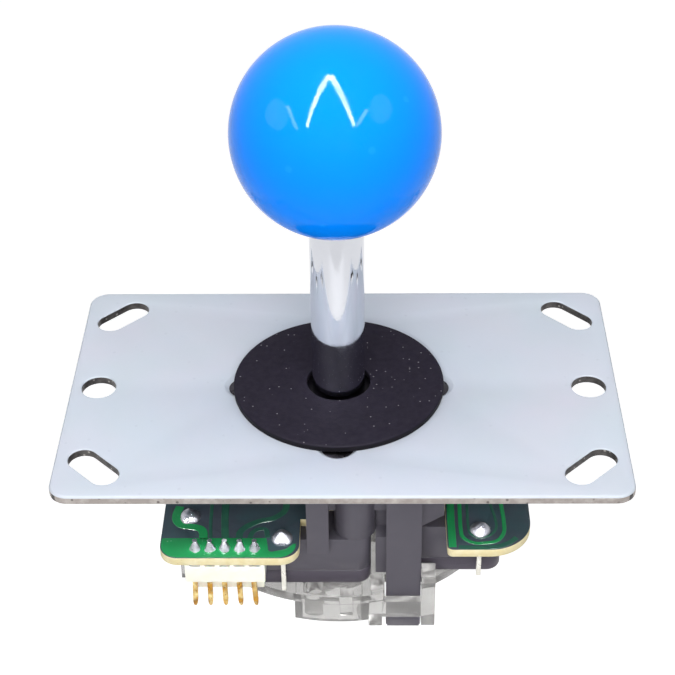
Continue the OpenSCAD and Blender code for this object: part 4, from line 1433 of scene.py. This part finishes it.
def put(name: str, data: bpy.types.ID, axes: Sequence[Array]) -> PieceObject:
    """Links a lamp or camera whose X, Y and Z axes and place are the four given vectors.

    Args:
        name: The object's name.
        data: The lamp or camera.
        axes: The four vectors.

    Returns:
        The object.
    """
    made = bpy.data.objects.new(name, data)
    matrix = Matrix.Identity(4)
    for column, axis in enumerate(axes):
        matrix.col[column][:3] = axis
    made.matrix_world = matrix
    bpy.context.scene.collection.objects.link(made)
    return made


@dataclass
class Studio:
    """Floor, white surround, lamps and camera.

    Lengths are in metres and angles in degrees. The lens is in millimetres, on a 36 mm sensor.
    The lamps are placed from the ball's centre, in parts of the tubes' height above it.
    """

    camera_place: tuple[float, float, float] = (0.004640, -0.243386, 0.186696)
    pitch: float = 35.8255
    yaw: float = -1.2996
    roll: float = -0.9073
    lens: float = 90.2475
    floor_z: float = -0.30
    floor_half: float = 6.0
    floor_glow: float = 0.66
    world_light: float = 0.36
    tube_height: float = 0.55
    ball: tuple[float, float, float] = (-0.0008, 0.0004, 0.0518)

    def camera(self) -> None:
        """Places the camera: a turn about Z, a pitch down and a roll about its own axis."""
        yaw, pitch, roll = (math.radians(a) for a in (self.yaw, self.pitch, self.roll))
        c, s = math.cos(pitch), math.sin(pitch)
        look = np.array([[1, 0, 0], [0, -s, -c], [0, c, -s]])
        right, down, ahead = turn_z(roll) @ look @ turn_z(yaw)
        data = bpy.data.cameras.new("camera")
        data.lens, data.sensor_width, data.clip_start = self.lens, 36.0, 0.01
        axes = (right, -down, -ahead, self.camera_place)
        bpy.context.scene.camera = put("camera", data, axes)

    def world(self) -> None:
        """A surround that is white to the camera, to reflections and through glass, and lights
        the object less than that."""
        world = bpy.data.worlds.new("surround")
        bpy.context.scene.world = world
        world.use_nodes = True
        world.node_tree.nodes.clear()
        w = Wiring(world.node_tree)
        strength = w.remap(w.seen(), 0, 1, self.world_light, 1.0)
        surround = w.add("Background", {"Color": (1, 1, 1, 1), "Strength": strength})
        w.add("OutputWorld", {0: surround.outputs[0]})

    def floor(self) -> None:
        """A wide pale floor that looks white where no shadow falls."""
        half = self.floor_half
        corners = np.array(rectangle((-half, -half), (half, half))) / MM
        points = np.concatenate([corners, np.full((4, 1), self.floor_z / MM)], 1)
        floor = piece_from("floor", points, [np.arange(4)[None]])
        material, w = new_material("floor_white")
        matt = w.add("BsdfDiffuse", {"Color": (0.9, 0.9, 0.9, 1)})
        glow = w.add("Emission", {"Color": (1, 1, 1, 1), "Strength": self.floor_glow})
        both = w.add("AddShader", {0: matt.outputs[0], 1: glow.outputs[0]})
        mixed = w.add("MixShader", {0: w.seen(), 1: matt.outputs[0], 2: both.outputs[0]})
        w.add("OutputMaterial", {0: mixed.outputs[0]})
        floor.data.materials.append(material)

    def lamp(
        self, name: str, start: Sequence[float], end: Sequence[float], width: float,
        radiance: float, mirrored: bool, shape: str = "RECTANGLE",
    ) -> None:
        """A flat lamp from start to end, facing the ball.

        Args:
            name: The lamp's name.
            start: Middle of one short side.
            end: Middle of the other.
            width: Its width across.
            radiance: How bright its face looks, 1 being white.
            mirrored: True for a lamp that only shows in reflections, False for one that lights
                the object and shows in none.
            shape: Outline of its face.
        """
        start, end = np.asarray(start, float), np.asarray(end, float)
        middle, along = (start + end) / 2, unit(end - start)
        back = unit(middle - np.array(self.ball))
        across = unit(np.cross(back, along))
        back = np.cross(along, across)
        data = bpy.data.lights.new(name, "AREA")
        data.shape = shape
        data.size, data.size_y = float(np.linalg.norm(end - start)), width
        data.energy = radiance * math.pi * data.size * data.size_y
        lamp = put(name, data, (along, across, back, middle))
        lamp.visible_glossy, lamp.visible_diffuse = mirrored, not mirrored
        lamp.visible_camera = False

    def lamps(self) -> None:
        """Two bright tubes overhead that meet behind the lever, faint ones beside them and soft
        patches at the sides, all of them only mirrored, and a key, a top light and a low fill."""
        high = self.tube_height
        x, y, z = self.ball

        def at(east: float, north: float, up: float = 1.0) -> tuple[float, float, float]:
            """A point seen from the ball along a direction, in parts of the tubes' height."""
            return (x + east * high, y + north * high, z + up * high)

        for name, start, end, width, radiance in (
            ("tube_left", (-0.06, 0.02), (-0.90, -1.38), 0.055, 110.0),
            ("tube_right", (-0.06, 0.02), (0.62, -1.32), 0.055, 110.0),
            ("tick_left", (-1.41, -1.51), (-1.14, -0.40), 0.05, 22.0),
            ("tick_right", (0.71, -1.32), (0.80, -0.65), 0.05, 22.0),
        ):
            self.lamp(name, at(*start), at(*end), width, radiance, True)
        sides = (("left", -1.2, -0.32, 0.62), ("right", 1.05, -0.44, 0.85))
        for step, size in enumerate((0.44, 0.37, 0.3, 0.22, 0.14)):
            half, glow = size / 2 / high, 2.6 + 0.4 * step
            for side, east, north, up in sides:
                start, end = at(east, north - half, up), at(east, north + half, up)
                self.lamp(f"patch_{side}_{step}", start, end, size * 0.75, glow, True, "ELLIPSE")
        for name, east, north, up, width, radiance in (
            ("key", 0.27, -0.58, 0.27, 0.2, 4.9),
            ("top", 0.15, -0.06, 0.28, 0.16, 3.4),
            ("fill", 0.5, -1.2, -0.3, 0.3, 1.6),
        ):
            self.lamp(name, at(-east, north, up), at(east, north, up), width, radiance, False)

    def build(self) -> None:
        """Sets up everything that isn't the object."""
        bpy.context.scene.view_settings.view_transform = "Standard"
        self.camera()
        self.world()
        self.floor()
        self.lamps()


def lever_axis() -> Array:
    """Where the lever's axis is, x and y in millimetres."""
    low, high = node_box("ball_top")
    return (low[:2] + high[:2]) / 2


LEVER_AXIS = lever_axis()


def main() -> None:
    """Builds the studio and the sub-assemblies."""
    logging.basicConfig(level=logging.INFO, format="%(name)s: %(message)s")
    Studio().build()
    Lever().build()
    Plate().build()
    Board().build()
    for side in Side:
        Switch(side).build()
    Base().build()


if __name__ == "__main__":
    main()
